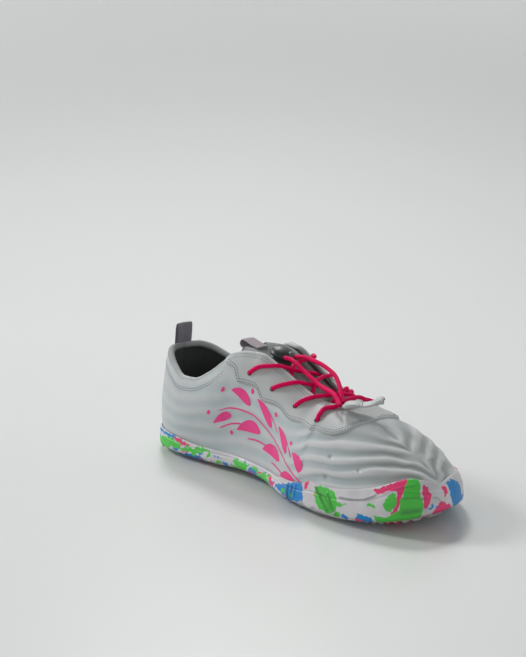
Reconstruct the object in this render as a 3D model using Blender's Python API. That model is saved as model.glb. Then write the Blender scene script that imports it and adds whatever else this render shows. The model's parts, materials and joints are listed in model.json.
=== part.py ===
"""Barefoot shoe for the left foot: a thin rubber cup sole, a fabric upper, an eyestay
overlay, a tongue, an insole, a heel loop and elastic laces with a cord lock and pull tab.

Shoe axes: +X to the toe, +Y to the outer (lateral) side, +Z up, metres, floor at z = 0.
The modelling coordinate x runs from the back of the heel, and the last step moves the
finished shoe so that the origin is the middle of its footprint.
"""

import math

import bmesh
import bpy
import numpy as np
from mathutils import Vector

# Overall sizes of the shoe
SHOE_LENGTH = 0.262
BALL_WIDTH = 0.099
HEEL_WIDTH = 0.067
HEEL_HEIGHT = 0.071
COLLAR_DIP_HEIGHT = 0.057
QUARTER_HEIGHT = 0.082
THROAT_FRONT_HEIGHT = 0.057
TOE_HEIGHT = 0.0385
TOE_SPRING = 0.009
HEEL_RISE = 0.0025
ARCH_RISE = 0.002

# Walls and clearances
UPPER_WALL = 0.0022
OVERLAY_THICKNESS = 0.0010
TONGUE_THICKNESS = 0.0026
TONGUE_GAP = 0.0009
INSOLE_THICKNESS = 0.0040
INSOLE_GAP = 0.0012
SOLE_BASE = 0.0038
SOLE_WALL = 0.0036
SOLE_RIM = 0.0014
SOLE_EDGE_ROUND = 0.0045
SOLE_GROOVE_DEPTH = 0.0007
SOLE_SIDE_HEIGHT = 0.0170
LUG_HEIGHT = 0.0022
LUG_SINK = 0.0010
LUG_MARGIN = 0.0030
SEAT_GAP = 0.0003
FOOT_GAP = 0.0008
TONGUE_SAG = 0.0072
TONGUE_REACH = 0.0210
TONGUE_RISE = 0.0070

# Laces and their fittings
LACE_DIAMETER = 0.0030
LACE_CLEARANCE = 0.0008
EYELET_DIAMETER = 0.0042
CORD_LOCK_LENGTH = 0.017
CORD_LOCK_WIDTH = 0.016
CORD_LOCK_HEIGHT = 0.0105
CORD_LOCK_GAP = 0.0006
PULL_TAB_WIDTH = 0.0120
PULL_TAB_THICKNESS = 0.0024
PULL_TAB_ROLL = 0.0046
LACE_OVERLAP = 0.0045

# Heel loop and the loop on the tongue
LOOP_WIDTH = 0.0140
LOOP_RISE = 0.0150
LOOP_LAP = 0.0110
LOOP_THICKNESS = 0.0012
LOOP_LEAN = 0.0020
LOOP_GAP = 0.00075
TONGUE_LOOP_WIDTH = 0.0100
TONGUE_LOOP_REACH = 0.0110
TONGUE_LOOP_LAP = 0.0060

# The sole's outline from below, clockwise from the back of the heel round the inner
# side: share of SHOE_LENGTH, then share of the local width, inner side negative
PLAN = (
    (0.000, 0.000),
    (0.010, -0.250),
    (0.040, -0.385),
    (0.090, -0.470),
    (0.155, -0.500),
    (0.230, -0.478),
    (0.333, -0.412),
    (0.430, -0.372),
    (0.506, -0.383),
    (0.560, -0.415),
    (0.625, -0.458),
    (0.715, -0.492),
    (0.800, -0.490),
    (0.870, -0.465),
    (0.930, -0.415),
    (0.972, -0.335),
    (0.994, -0.220),
    (1.000, -0.100),
    (0.992, 0.030),
    (0.968, 0.155),
    (0.927, 0.285),
    (0.875, 0.388),
    (0.810, 0.470),
    (0.720, 0.507),
    (0.633, 0.508),
    (0.540, 0.490),
    (0.444, 0.480),
    (0.340, 0.497),
    (0.247, 0.507),
    (0.160, 0.497),
    (0.085, 0.445),
    (0.035, 0.335),
    (0.008, 0.170),
)
TOE_TIP_ROW = 17
WIDTH_BLEND = (0.20, 0.62)

# Where the tread leaves the floor, as shares of SHOE_LENGTH: behind HEEL_ROLL, past
# TOE_ROLL on a curve of power TOE_CURVE, and in the arch
HEEL_ROLL = 0.07
TOE_ROLL = 0.76
TOE_CURVE = 1.8
ARCH_START = 0.27
ARCH_END = 0.60
ARCH_RUN = 0.12

# The upper's top edge, then its ridge to the toe. base: share of the way round the
# outline from heel to toe where the rib stands; along: share of SHOE_LENGTH; gap: half
# width from the centre line, share of BALL_WIDTH; height: share of the size named in
# level; lean: how far the rib's end leans in from upright, degrees; full: length of
# the rib's upper handle, share of its chord
TOPLINE = (
    # base, along, gap, height, level, lean, full
    (0.000, 0.019, 0.000, 1.000, "HEEL_HEIGHT", 10, 0.34),
    (0.045, 0.027, 0.111, 0.998, "HEEL_HEIGHT", 10, 0.34),
    (0.090, 0.053, 0.200, 0.965, "HEEL_HEIGHT", 11, 0.34),
    (0.140, 0.103, 0.263, 1.095, "COLLAR_DIP_HEIGHT", 13, 0.34),
    (0.190, 0.160, 0.298, 1.000, "COLLAR_DIP_HEIGHT", 16, 0.34),
    (0.235, 0.206, 0.303, 1.010, "COLLAR_DIP_HEIGHT", 20, 0.34),
    (0.290, 0.267, 0.293, 1.135, "COLLAR_DIP_HEIGHT", 27, 0.34),
    (0.330, 0.309, 0.266, 0.890, "QUARTER_HEIGHT", 33, 0.34),
    (0.360, 0.340, 0.230, 0.972, "QUARTER_HEIGHT", 37, 0.34),
    (0.395, 0.378, 0.196, 1.000, "QUARTER_HEIGHT", 41, 0.35),
    (0.430, 0.418, 0.166, 0.998, "QUARTER_HEIGHT", 45, 0.36),
    (0.470, 0.462, 0.147, 0.940, "QUARTER_HEIGHT", 50, 0.38),
    (0.520, 0.519, 0.132, 0.848, "QUARTER_HEIGHT", 56, 0.40),
    (0.570, 0.576, 0.116, 1.096, "THROAT_FRONT_HEIGHT", 64, 0.42),
    (0.610, 0.622, 0.094, 1.026, "THROAT_FRONT_HEIGHT", 74, 0.44),
    (0.635, 0.649, 0.058, 1.004, "THROAT_FRONT_HEIGHT", 84, 0.45),
    (0.650, 0.664, 0.000, 1.000, "THROAT_FRONT_HEIGHT", 90, 0.46),
    (0.700, 0.720, 0.000, 0.950, "THROAT_FRONT_HEIGHT", 90, 0.47),
    (0.760, 0.786, 0.000, 1.300, "TOE_HEIGHT", 90, 0.48),
    (0.820, 0.847, 0.000, 1.165, "TOE_HEIGHT", 90, 0.48),
    (0.880, 0.905, 0.000, 1.000, "TOE_HEIGHT", 90, 0.48),
    (1.000, 0.905, 0.000, 1.000, "TOE_HEIGHT", 90, 0.48),
)
THROAT_FRONT_BASE = 0.650
POLE_BASE = 0.880

# The centre line of the upper, which bends towards the big toe: share of SHOE_LENGTH,
# then share of BALL_WIDTH
CENTRE_LINE = (
    (0.00, 0.000),
    (0.30, 0.005),
    (0.50, 0.000),
    (0.70, -0.030),
    (0.85, -0.065),
    (1.00, -0.095),
)

# How the upper's wall leaves the sole: base as above, then degrees outward of upright
# on the inner and the outer side, then the lower handle's share of the rib's chord
FOOTING = (
    # base, inner, outer, full
    (0.00, 14, 14, 0.34),
    (0.15, 9, 9, 0.34),
    (0.35, -10, -2, 0.34),
    (0.50, -12, -2, 0.36),
    (0.62, 4, 4, 0.38),
    (0.80, 8, 8, 0.40),
    (1.00, 10, 10, 0.42),
)

# Height of the sole's side above the floor: base as above, then shares of
# SOLE_SIDE_HEIGHT on the inner and the outer side
SOLE_SIDE = (
    # base, inner, outer
    (0.000, 1.000, 1.000),
    (0.120, 0.941, 0.941),
    (0.200, 0.835, 0.853),
    (0.268, 0.718, 0.776),
    (0.370, 0.753, 0.776),
    (0.440, 0.706, 0.765),
    (0.540, 0.718, 0.794),
    (0.575, 0.824, 0.882),
    (0.613, 0.882, 0.941),
    (0.657, 1.012, 1.029),
    (0.685, 1.194, 1.118),
    (0.740, 1.206, 1.176),
    (0.797, 1.341, 1.306),
    (0.843, 1.529, 1.441),
    (0.878, 1.741, 1.541),
    (0.910, 1.835, 1.618),
    (0.945, 1.765, 1.659),
    (1.000, 1.600, 1.600),
)

# The rounded lower edge of the sole: inset, then rise over the underside, as shares of
# SOLE_EDGE_ROUND, and how far in the underside starts
SOLE_EDGE = ((0.35, 0.25), (0.00, 0.75))
SOLE_EDGE_TURN = 1.2
# The wall above it: share of its height, then share of SOLE_GROOVE_DEPTH
SOLE_WALL_ROWS = ((0.30, 0), (0.50, 0), (0.56, 1), (0.62, 0))

# Lower edge of the eyestay overlay: base as above, then share of the rib's height
EYESTAY_EDGE = (
    # base, share up the rib
    (0.340, 0.970),
    (0.352, 0.900),
    (0.370, 0.840),
    (0.385, 0.715),
    (0.438, 0.695),
    (0.468, 0.625),
    (0.522, 0.680),
    (0.557, 0.655),
    (0.600, 0.690),
    (0.652, 0.600),
    (0.695, 0.635),
    (0.718, 0.730),
    (0.728, 0.890),
    (0.732, 1.000),
)
EYESTAY_BASES = (
    0.340, 0.352, 0.370, 0.385, 0.410, 0.438, 0.453, 0.468, 0.495, 0.522,
    0.540, 0.557, 0.580, 0.600, 0.625, 0.650, 0.672, 0.695, 0.708, 0.718,
    0.724, 0.728, 0.732,
)

# Lowest whole row of facets, and how far up the rib the overlay's back tip reaches
EYESTAY_FIRST_LEVEL = 0.55
EYESTAY_TIP = 0.03

# The lace's holes: base, then share up the rib
EYELETS = (
    # base, share
    (0.417, 0.810),
    (0.492, 0.795),
    (0.565, 0.810),
    (0.640, 0.720),
)

# Each crossing's middle over the throat's edges, and how far its two strands lie apart
# there, as shares of LACE_DIAMETER
LACE_SAG = (-1.67, -0.67, 0.13)
LACE_CROSS_LIFT = 0.40
# Where a strand crosses its flap's edge and reaches the other one, as shares of the way
# to the next eyelet, and how far up the rib it has come by the edge
LACE_LEAVE = 0.62
LACE_EDGE = 0.68
LACE_MIDDLE = 0.74
LACE_REACH = 0.86
LACE_TOP_SHARE = 0.96
LACE_BAR_STEP = 0.004
# Place of the cord lock between the last two rows of TONGUE_ROWS
CORD_LOCK_FORWARD = 0.25

# The tongue from its front under the vamp to the throat's top: base, share of its outer
# edge, share of its inner columns, and its middle's sag below the throat's edges as a
# share of TONGUE_SAG
TONGUE_ROWS = (
    # base, edge, inner, sag
    (0.720, 0.78, 0.90, 0.00),
    (0.690, 0.78, 0.90, 0.00),
    (0.660, 0.78, 0.91, 0.00),
    (0.630, 0.79, 0.97, 0.14),
    (0.600, 0.80, 1.00, 0.35),
    (0.565, 0.80, 1.00, 0.63),
    (0.530, 0.80, 1.00, 0.86),
    (0.492, 0.80, 1.00, 1.00),
    (0.455, 0.80, 1.00, 0.97),
    (0.420, 0.80, 1.00, 0.83),
)
# Its free top, past the throat's top: share of TONGUE_REACH, share of TONGUE_RISE, share
# of its width and how much it still curves across
TONGUE_TOP = (
    # back, up, width, curve
    (0.38, 0.43, 0.93, 0.80),
    (0.71, 0.79, 0.84, 0.40),
    (1.00, 1.00, 0.68, 0.20),
)

# Routes of the lace's two free ends from the cord lock to the pull tab
LOW_END = (
    (0.1185, -0.0040, 0.0790),
    (0.1245, -0.0043, 0.0788),
    (0.1305, -0.0048, 0.0770),
    (0.1373, -0.0050, 0.0735),
    (0.1444, -0.0055, 0.0705),
    (0.1513, -0.0062, 0.0678),
    (0.1578, -0.0075, 0.0664),
    (0.1650, -0.0092, 0.0658),
    (0.1715, -0.0112, 0.0650),
    (0.1770, -0.0136, 0.0626),
    (0.1809, -0.0157, 0.0608),
)
HIGH_END = (
    (0.1200, 0.0040, 0.0787),
    (0.1278, 0.0042, 0.0797),
    (0.1353, 0.0040, 0.0791),
    (0.1447, 0.0030, 0.0781),
    (0.1521, 0.0020, 0.0763),
    (0.1596, 0.0005, 0.0739),
    (0.1655, -0.0020, 0.0707),
    (0.1712, -0.0056, 0.0670),
    (0.1752, -0.0088, 0.0634),
    (0.1775, -0.0108, 0.0612),
)
PULL_TAB_START = (0.1815, -0.0125, 0.0606)
PULL_TAB_END = (0.2005, 0.0030, 0.0640)
# Middle of the tab's rolled tip and how far it spreads, as shares of the tab's length
PULL_TAB_ROLL_PLACE = 0.90
PULL_TAB_ROLL_SPREAD = 0.12

# The tread's main lugs. Places along are shares of SHOE_LENGTH and places across shares
# of BALL_WIDTH, or of HEEL_WIDTH behind the ball; so are lengths and widths. Radii are
# shares of those widths, and turns are degrees
PODS = (
    # place along and across, turn
    ((0.664, -0.270), 20),
    ((0.577, 0.248), -25),
)
POD_DISC = 0.101
# inner and outer radius, pieces, half gap in degrees, steps of each piece
POD_RING = (0.126, 0.237, 4, 4, 4)
HEEL_PLACE = 0.112
HEEL_DISC = 0.127
HEEL_RINGS = (
    (0.164, 0.276, 5, 5, 4),
    (0.313, 0.433, 6, 4, 3),
)
LADDER_COUNT = 4
LADDER_START = 0.275
LADDER_STEP = 0.052
LADDER_ACROSS = 0.26
LADDER_LENGTH = 0.042
LADDER_WIDTH = 0.194
STUD_ROWS = 3
STUD_START = 0.285
STUD_STEP = 0.062
STUD_SLANT = 0.012
STUD_ACROSS = -0.25
STUD_ACROSS_STEP = 0.135
STUD_RADIUS = 0.054
DOT_COUNT = 4
DOT_START = 0.800
DOT_STEP = 0.012
DOT_ACROSS = -0.16
DOT_ACROSS_STEP = 0.125
DOT_RADIUS = 0.030
TOE_BARS = (
    # along, across, step between bars along, length, width, turn
    (0.935, -0.080, 0.034, 0.026, 0.152, 2),
    (0.905, 0.095, 0.034, 0.026, 0.152, -2),
    (0.858, 0.255, 0.034, 0.026, 0.152, -6),
    (0.901, -0.305, 0.036, 0.0275, 0.172, 12),
)
OUTER_PAD = (0.745, 0.385, 0.099, 0.101, -20)

# How finely the faceted solids follow these curves
RIBS = 40
RIB_STEPS = 10
SEAT_ROWS = 6
LACE_SIDES = 8
EYELET_SIDES = 10
EYELET_CUT = 2.4
PLAN_STEPS = 24
CORD_LOCK_RINGS = 8
CORD_LOCK_SIDES = 14
CORD_LOCK_FULLNESS = 2.4


def table(rows, column, at):
    """Reads a column of a table at a place on its first column, on a smooth curve that
    never overshoots its rows."""
    x = np.array([row[0] for row in rows], float)
    y = np.array([row[column] for row in rows], float)
    step = np.diff(x)
    slope = np.diff(y) / step
    inner = np.where(
        slope[1:] * slope[:-1] > 0,
        2 * slope[1:] * slope[:-1] / np.where(slope[1:] + slope[:-1] == 0, 1, slope[1:] + slope[:-1]),
        0.0,
    )
    m = np.concatenate([[slope[0]], inner, [slope[-1]]])
    at = np.clip(np.asarray(at, float), x[0], x[-1])
    i = np.clip(np.searchsorted(x, at, side="right") - 1, 0, len(step) - 1)
    h = step[i]
    s = (at - x[i]) / h
    a = (1 + 2 * s) * (1 - s) ** 2
    b = s * (1 - s) ** 2
    c = s * s * (3 - 2 * s)
    d = s * s * (s - 1)
    return a * y[i] + b * h * m[i] + c * y[i + 1] + d * h * m[i + 1]


def ease(value):
    """0 below 0, 1 above 1, and a smooth step between."""
    value = np.clip(value, 0.0, 1.0)
    return value * value * (3 - 2 * value)


def catmull(p0, p1, p2, p3, t):
    """Catmull-Rom curve between its two middle points, at t from 0 to 1."""
    square = 2 * p0 - 5 * p1 + 4 * p2 - p3
    cube = 3 * p1 - p0 - 3 * p2 + p3
    return (2 * p1 + (p2 - p0) * t + square * t**2 + cube * t**3) / 2


def closed_curve(points, per_span):
    """Catmull-Rom curve through a closed ring of points, per_span steps a span."""
    points = np.asarray(points, float)
    t = np.linspace(0, 1, per_span, endpoint=False)[:, None]
    count = len(points)
    spans = [catmull(*(points[(i + k) % count] for k in (-1, 0, 1, 2)), t) for i in range(count)]
    return np.concatenate(spans)


def local_width(share):
    """The width that a share in PLAN's second column is taken of."""
    low, high = WIDTH_BLEND
    return HEEL_WIDTH + (BALL_WIDTH - HEEL_WIDTH) * ease((np.asarray(share) - low) / (high - low))


def plan_sides():
    """The two halves of the sole's outline from heel to toe tip: side, points, share of
    the way at each point, and outward normals."""
    ring = np.array([(a * SHOE_LENGTH, b * local_width(a)) for a, b in PLAN])
    curve = closed_curve(ring, PLAN_STEPS)
    tip = TOE_TIP_ROW * PLAN_STEPS
    ahead = np.roll(curve, -1, axis=0) - np.roll(curve, 1, axis=0)
    normal = np.stack([ahead[:, 1], -ahead[:, 0]], axis=1)
    normal /= np.linalg.norm(normal, axis=1)[:, None]
    halves = {}
    order = {
        -1: np.arange(0, tip + 1),
        1: np.concatenate([[0], np.arange(len(curve) - 1, tip - 1, -1)]),
    }
    for side, index in order.items():
        line = curve[index]
        length = np.concatenate([[0], np.cumsum(np.linalg.norm(np.diff(line, axis=0), axis=1))])
        halves[side] = (line, length / length[-1], normal[index])
    return halves


HALVES = plan_sides()


def outline(side, base, inset=0.0):
    """Points on the sole's outline, moved in by inset, and the outward normals there."""
    line, share, normal = HALVES[side]
    base = np.asarray(base, float)
    p = np.stack([np.interp(base, share, line[:, k]) for k in (0, 1)], axis=-1)
    n = np.stack([np.interp(base, share, normal[:, k]) for k in (0, 1)], axis=-1)
    n /= np.linalg.norm(n, axis=-1)[..., None]
    return p - n * np.asarray(inset, float)[..., None], n


def ground(x):
    """Height of the tread's face over the floor: flat under heel and ball, with the
    heel's rise, the arch and the toe spring."""
    share = np.asarray(x, float) / SHOE_LENGTH
    heel = HEEL_RISE * ease((HEEL_ROLL - share) / HEEL_ROLL)
    toe = TOE_SPRING * np.clip((share - TOE_ROLL) / (1 - TOE_ROLL), 0, 1) ** TOE_CURVE
    arch = ARCH_RISE * ease((share - ARCH_START) / ARCH_RUN) * ease((ARCH_END - share) / ARCH_RUN)
    return heel + toe + arch


def bed(x):
    """Height of the sole's inner floor."""
    return ground(x) + LUG_HEIGHT + SOLE_BASE


def centre(x):
    return table(CENTRE_LINE, 1, np.asarray(x, float) / SHOE_LENGTH) * BALL_WIDTH


LEVELS = {
    "HEEL_HEIGHT": HEEL_HEIGHT,
    "COLLAR_DIP_HEIGHT": COLLAR_DIP_HEIGHT,
    "QUARTER_HEIGHT": QUARTER_HEIGHT,
    "THROAT_FRONT_HEIGHT": THROAT_FRONT_HEIGHT,
    "TOE_HEIGHT": TOE_HEIGHT,
}
TOP_ROWS = tuple(
    (base, along * SHOE_LENGTH, gap * BALL_WIDTH, height * LEVELS[level], lean, full)
    for base, along, gap, height, level, lean, full in TOPLINE
)


def top_point(side, base):
    x = table(TOP_ROWS, 1, base)
    y = centre(x) + side * table(TOP_ROWS, 2, base)
    return np.stack([x, y, table(TOP_ROWS, 3, base)], axis=-1)


def rib_handles(side, base):
    """The four control points of the ribs at the given bases."""
    base = np.asarray(base, float)
    foot_xy, out = outline(side, base, SOLE_WALL)
    foot = np.concatenate([foot_xy, (bed(foot_xy[..., 0]) + FOOT_GAP)[..., None]], axis=-1)
    top = top_point(side, base)
    chord = np.linalg.norm(top - foot, axis=-1)[..., None]
    flare = np.radians(table(FOOTING, 1 if side < 0 else 2, base))
    rise = np.concatenate([out * np.sin(flare)[..., None], np.cos(flare)[..., None]], axis=-1)
    lean = np.radians(table(TOP_ROWS, 4, base))
    step = 0.004
    near = np.minimum(base, POLE_BASE)
    along = top_point(side, near + step) - top_point(side, near - step)
    ridge = top_point(side, POLE_BASE) - top_point(side, POLE_BASE - 2 * step)
    ridge /= np.linalg.norm(ridge)
    flat = np.stack([along[..., 1], -along[..., 0]], axis=-1) * -side
    flat /= np.maximum(np.linalg.norm(flat, axis=-1), 1e-9)[..., None]
    blend = ease(base / 0.05)[..., None]
    flat = flat * blend + out * (1 - blend)
    settle = ease((base - 0.30) / 0.10)[..., None]
    flat = out * (1 - settle) + flat * settle
    across = np.array([0.0, float(side)])
    settle = ease((base - 0.46) / 0.16)[..., None]
    flat = flat * (1 - settle) + across * settle
    flat /= np.linalg.norm(flat, axis=-1)[..., None]
    down = np.concatenate([flat * np.sin(lean)[..., None], -np.cos(lean)[..., None]], axis=-1)
    turn = ease((base - POLE_BASE + 0.04) / (1.04 - POLE_BASE))[..., None] * (math.pi / 2)
    sideways = np.array([0.0, float(side), 0.0])
    fan = sideways * np.cos(turn) + ridge * np.sin(turn)
    at_pole = ease((base - POLE_BASE + 0.08) / 0.08)[..., None]
    down = down * (1 - at_pole) + fan * at_pole
    down /= np.linalg.norm(down, axis=-1)[..., None]
    full_low = table(FOOTING, 3, base)[..., None]
    full_top = table(TOP_ROWS, 5, base)[..., None]
    return foot, foot + rise * chord * full_low, top + down * chord * full_top, top


def surface(side, base, share):
    """Points of the upper's outer surface: base round the outline, share up the rib.
    The two arrays are broadcast against each other."""
    base, share = np.broadcast_arrays(np.asarray(base, float), np.asarray(share, float))
    p0, p1, p2, p3 = rib_handles(side, base)
    t = share[..., None]
    return (1 - t) ** 3 * p0 + 3 * t * (1 - t) ** 2 * p1 + 3 * t * t * (1 - t) * p2 + t**3 * p3


def surface_normal(side, base, share):
    """Outward unit normals of the upper's outer surface."""
    base, share = np.broadcast_arrays(np.asarray(base, float), np.asarray(share, float))
    e = 0.004
    share = np.clip(share, e, 0.97)
    lo, hi = np.clip(base - e, 0, 1), np.clip(base + e, 0, 1)
    du = surface(side, hi, share) - surface(side, lo, share)
    dt = surface(side, base, share + e) - surface(side, base, share - e)
    n = np.cross(du, dt) * -side
    n /= np.linalg.norm(n, axis=-1)[..., None]
    n[..., 1] = np.where(base < e, 0.0, n[..., 1])
    return n / np.linalg.norm(n, axis=-1)[..., None]


def offset_surface(side, base, share, offset):
    """The upper's outer surface moved out along its normals. Points on the ridge take
    the mean of both sides' normals, so that the two sides meet."""
    base, share = np.broadcast_arrays(np.asarray(base, float), np.asarray(share, float))
    offset = np.broadcast_to(np.asarray(offset, float), base.shape)
    n = surface_normal(side, base, share)
    shared = ((share > 1 - 1e-9) & (base >= THROAT_FRONT_BASE - 1e-9)) | (base > 1 - 1e-9) | (base < 1e-9)
    other = surface_normal(-side, base, share)
    both = n + other
    both /= np.linalg.norm(both, axis=-1)[..., None]
    n = np.where(shared[..., None], both, n)
    return surface(side, base, share) + n * offset[..., None]


def rib_share_at(side, base, height):
    """How far up each rib a height above the floor lies."""
    shares = np.linspace(0, 1, 61)
    base = np.asarray(base, float)
    z = surface(side, base[:, None], shares[None, :])[..., 2]
    return np.array([np.interp(h, row, shares) for h, row in zip(np.broadcast_to(height, base.shape), z)])


def new_object(name, mesh):
    thing = bpy.data.objects.new(name, mesh)
    bpy.context.scene.collection.objects.link(thing)
    return thing


def mesh_from(name, points, faces, smooth=True, merge=1e-6):
    """A mesh object from points and faces, with points at one place merged and faces
    turned outwards."""
    bm = bmesh.new()
    made = [bm.verts.new(p) for p in points]
    for face in faces:
        corners = [made[i] for i in face]
        if len(set(corners)) > 2:
            try:
                bm.faces.new(corners)
            except ValueError:
                pass
    bmesh.ops.remove_doubles(bm, verts=bm.verts, dist=merge)
    bmesh.ops.dissolve_degenerate(bm, edges=bm.edges, dist=merge)
    bmesh.ops.recalc_face_normals(bm, faces=bm.faces)
    mesh = bpy.data.meshes.new(name)
    bm.to_mesh(mesh)
    bm.free()
    thing = new_object(name, mesh)
    if smooth:
        mesh.shade_smooth()
        mesh.set_sharp_from_angle(angle=math.radians(40))
    return thing


def grid_faces(rows, columns, start=0, flip=False):
    faces = []
    for i in range(rows - 1):
        for j in range(columns - 1):
            a = start + i * columns + j
            face = (a, a + 1, a + columns + 1, a + columns)
            faces.append(face[::-1] if flip else face)
    return faces


def material(name, colour, roughness, metallic=0.0):
    made = bpy.data.materials.new(name)
    made.use_nodes = True
    shader = made.node_tree.nodes["Principled BSDF"]
    shader.inputs["Base Color"].default_value = (*colour, 1.0)
    shader.inputs["Roughness"].default_value = roughness
    shader.inputs["Metallic"].default_value = metallic
    return made


def upper_shell(name, base_rows, share_rows, outer, inner):
    """A closed shell between two offsets of the upper's surface. base_rows is the list
    of ribs, share_rows gives each rib's shares for one side."""
    points, faces = [], []
    count = len(base_rows)
    for side in (-1, 1):
        shares = share_rows(side)
        steps = shares.shape[1]
        for offset in (outer, inner):
            start = len(points)
            block = offset_surface(side, base_rows[:, None], shares, offset)
            points.extend(map(tuple, block.reshape(-1, 3)))
            faces.extend(grid_faces(count, steps, start))
        low = start - count * steps
        for edge in (0, steps - 1):
            for i in range(count - 1):
                if edge and base_rows[i] >= THROAT_FRONT_BASE - 1e-9:
                    continue
                a, b = low + i * steps + edge, low + (i + 1) * steps + edge
                faces.append((a, b, b + count * steps, a + count * steps))
        if base_rows[0] > 1e-9:
            for j in range(steps - 1):
                a = low + j
                faces.append((a, a + 1, a + 1 + count * steps, a + count * steps))
    return mesh_from(name, points, faces)


def rib_bases():
    """The ribs of the faceted solids, with one at the throat's front and one at the
    ridge's end."""
    even = np.linspace(0, 1, RIBS + 1)
    for special in (THROAT_FRONT_BASE, POLE_BASE):
        even[np.abs(even - special).argmin()] = special
    return even


def make_upper():
    bases = rib_bases()
    shares = np.linspace(0, 1, RIB_STEPS + 1)

    def rows(side):
        return np.broadcast_to(shares, (len(bases), len(shares)))

    return upper_shell("upper", bases, rows, 0.0, -UPPER_WALL)


def unit(vectors):
    return vectors / np.maximum(np.linalg.norm(vectors, axis=-1, keepdims=True), 1e-12)


def sheet(name, grid, thickness):
    """A closed solid around a grid of points on its middle surface."""
    grid = np.asarray(grid, float)
    normal = unit(np.cross(np.gradient(grid, axis=0), np.gradient(grid, axis=1)))
    half = np.broadcast_to(np.asarray(thickness, float), grid.shape[:2])[..., None] / 2
    rows, columns = grid.shape[:2]
    points = np.concatenate([(grid + normal * half).reshape(-1, 3), (grid - normal * half).reshape(-1, 3)])
    layer = rows * columns
    faces = grid_faces(rows, columns) + grid_faces(rows, columns, layer, flip=True)
    rim = [i for i in range(columns)]
    rim += [i * columns + columns - 1 for i in range(1, rows)]
    rim += [layer - 1 - i for i in range(1, columns)]
    rim += [i * columns for i in range(rows - 2, 0, -1)]
    for a, b in zip(rim, rim[1:] + rim[:1]):
        faces.append((a, b, b + layer, a + layer))
    return mesh_from(name, points.tolist(), faces)


def smooth_path(points, steps):
    """A smooth open curve through points, steps to each span."""
    points = np.asarray(points, float)
    padded = np.concatenate([[2 * points[0] - points[1]], points, [2 * points[-1] - points[-2]]])
    t = (np.arange(steps) / steps)[:, None]
    spans = [catmull(*padded[i : i + 4], t) for i in range(len(points) - 1)]
    return np.concatenate([*spans, points[-1:]])


def tubes(name, paths, radius, sides):
    """Closed round tubes along paths, in one mesh."""
    points, faces = [], []
    for path in paths:
        path = np.asarray(path, float)
        ahead = unit(np.gradient(path, axis=0))
        reference = np.array([0.0, 0.0, 1.0])
        across = unit(np.cross(ahead, reference))
        upward = unit(np.cross(across, ahead))
        angle = np.arange(sides) * 2 * math.pi / sides
        start = len(points)
        for p, a, b in zip(path, across, upward):
            for t in angle:
                points.append(tuple(p + radius * (a * math.cos(t) + b * math.sin(t))))
        for i in range(len(path) - 1):
            for j in range(sides):
                k = (j + 1) % sides
                row = start + i * sides
                faces.append((row + j, row + k, row + sides + k, row + sides + j))
        faces.append(tuple(start + j for j in range(sides)))
        faces.append(tuple(start + (len(path) - 1) * sides + j for j in range(sides)))
    return mesh_from(name, points, faces)


def combine(thing, other, operation):
    """Applies a Boolean of two objects and removes the second."""
    change = thing.modifiers.new(operation, "BOOLEAN")
    change.operation = operation
    change.solver = "EXACT"
    change.object = other
    bpy.context.view_layer.update()
    seen = thing.evaluated_get(bpy.context.evaluated_depsgraph_get())
    result = bpy.data.meshes.new_from_object(seen)
    thing.modifiers.clear()
    thing.data = result
    bpy.data.objects.remove(other)
    result.shade_smooth()
    result.set_sharp_from_angle(angle=math.radians(40))


def make_eyestay():
    """The overlay between its scalloped lower edge and the edge of collar and throat."""
    bases = np.array(EYESTAY_BASES)
    levels = np.linspace(0, 1, RIB_STEPS + 1)
    levels = levels[levels > EYESTAY_FIRST_LEVEL]

    def rows(side):
        edge = table(EYESTAY_EDGE, 1, bases)
        top = np.where(bases > EYESTAY_BASES[0], 1.0, edge + EYESTAY_TIP)
        return np.clip(np.concatenate([edge[:, None], np.tile(levels, (len(bases), 1))], axis=1),
                       edge[:, None], np.maximum(top, edge)[:, None])

    return upper_shell("eyestay", bases, rows, SEAT_GAP + OVERLAY_THICKNESS, SEAT_GAP)


def eyelet_cutters():
    """Rods through the overlay and the upper where the lace's holes are."""
    paths = []
    for side in (-1, 1):
        for base, share in EYELETS:
            reach = UPPER_WALL * EYELET_CUT
            low, high = (offset_surface(side, base, share, d) for d in (-reach, reach))
            paths.append(np.stack([low, (low + high) / 2, high]))
    return tubes("eyelet_cutters", paths, EYELET_DIAMETER / 2, EYELET_SIDES)


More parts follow.
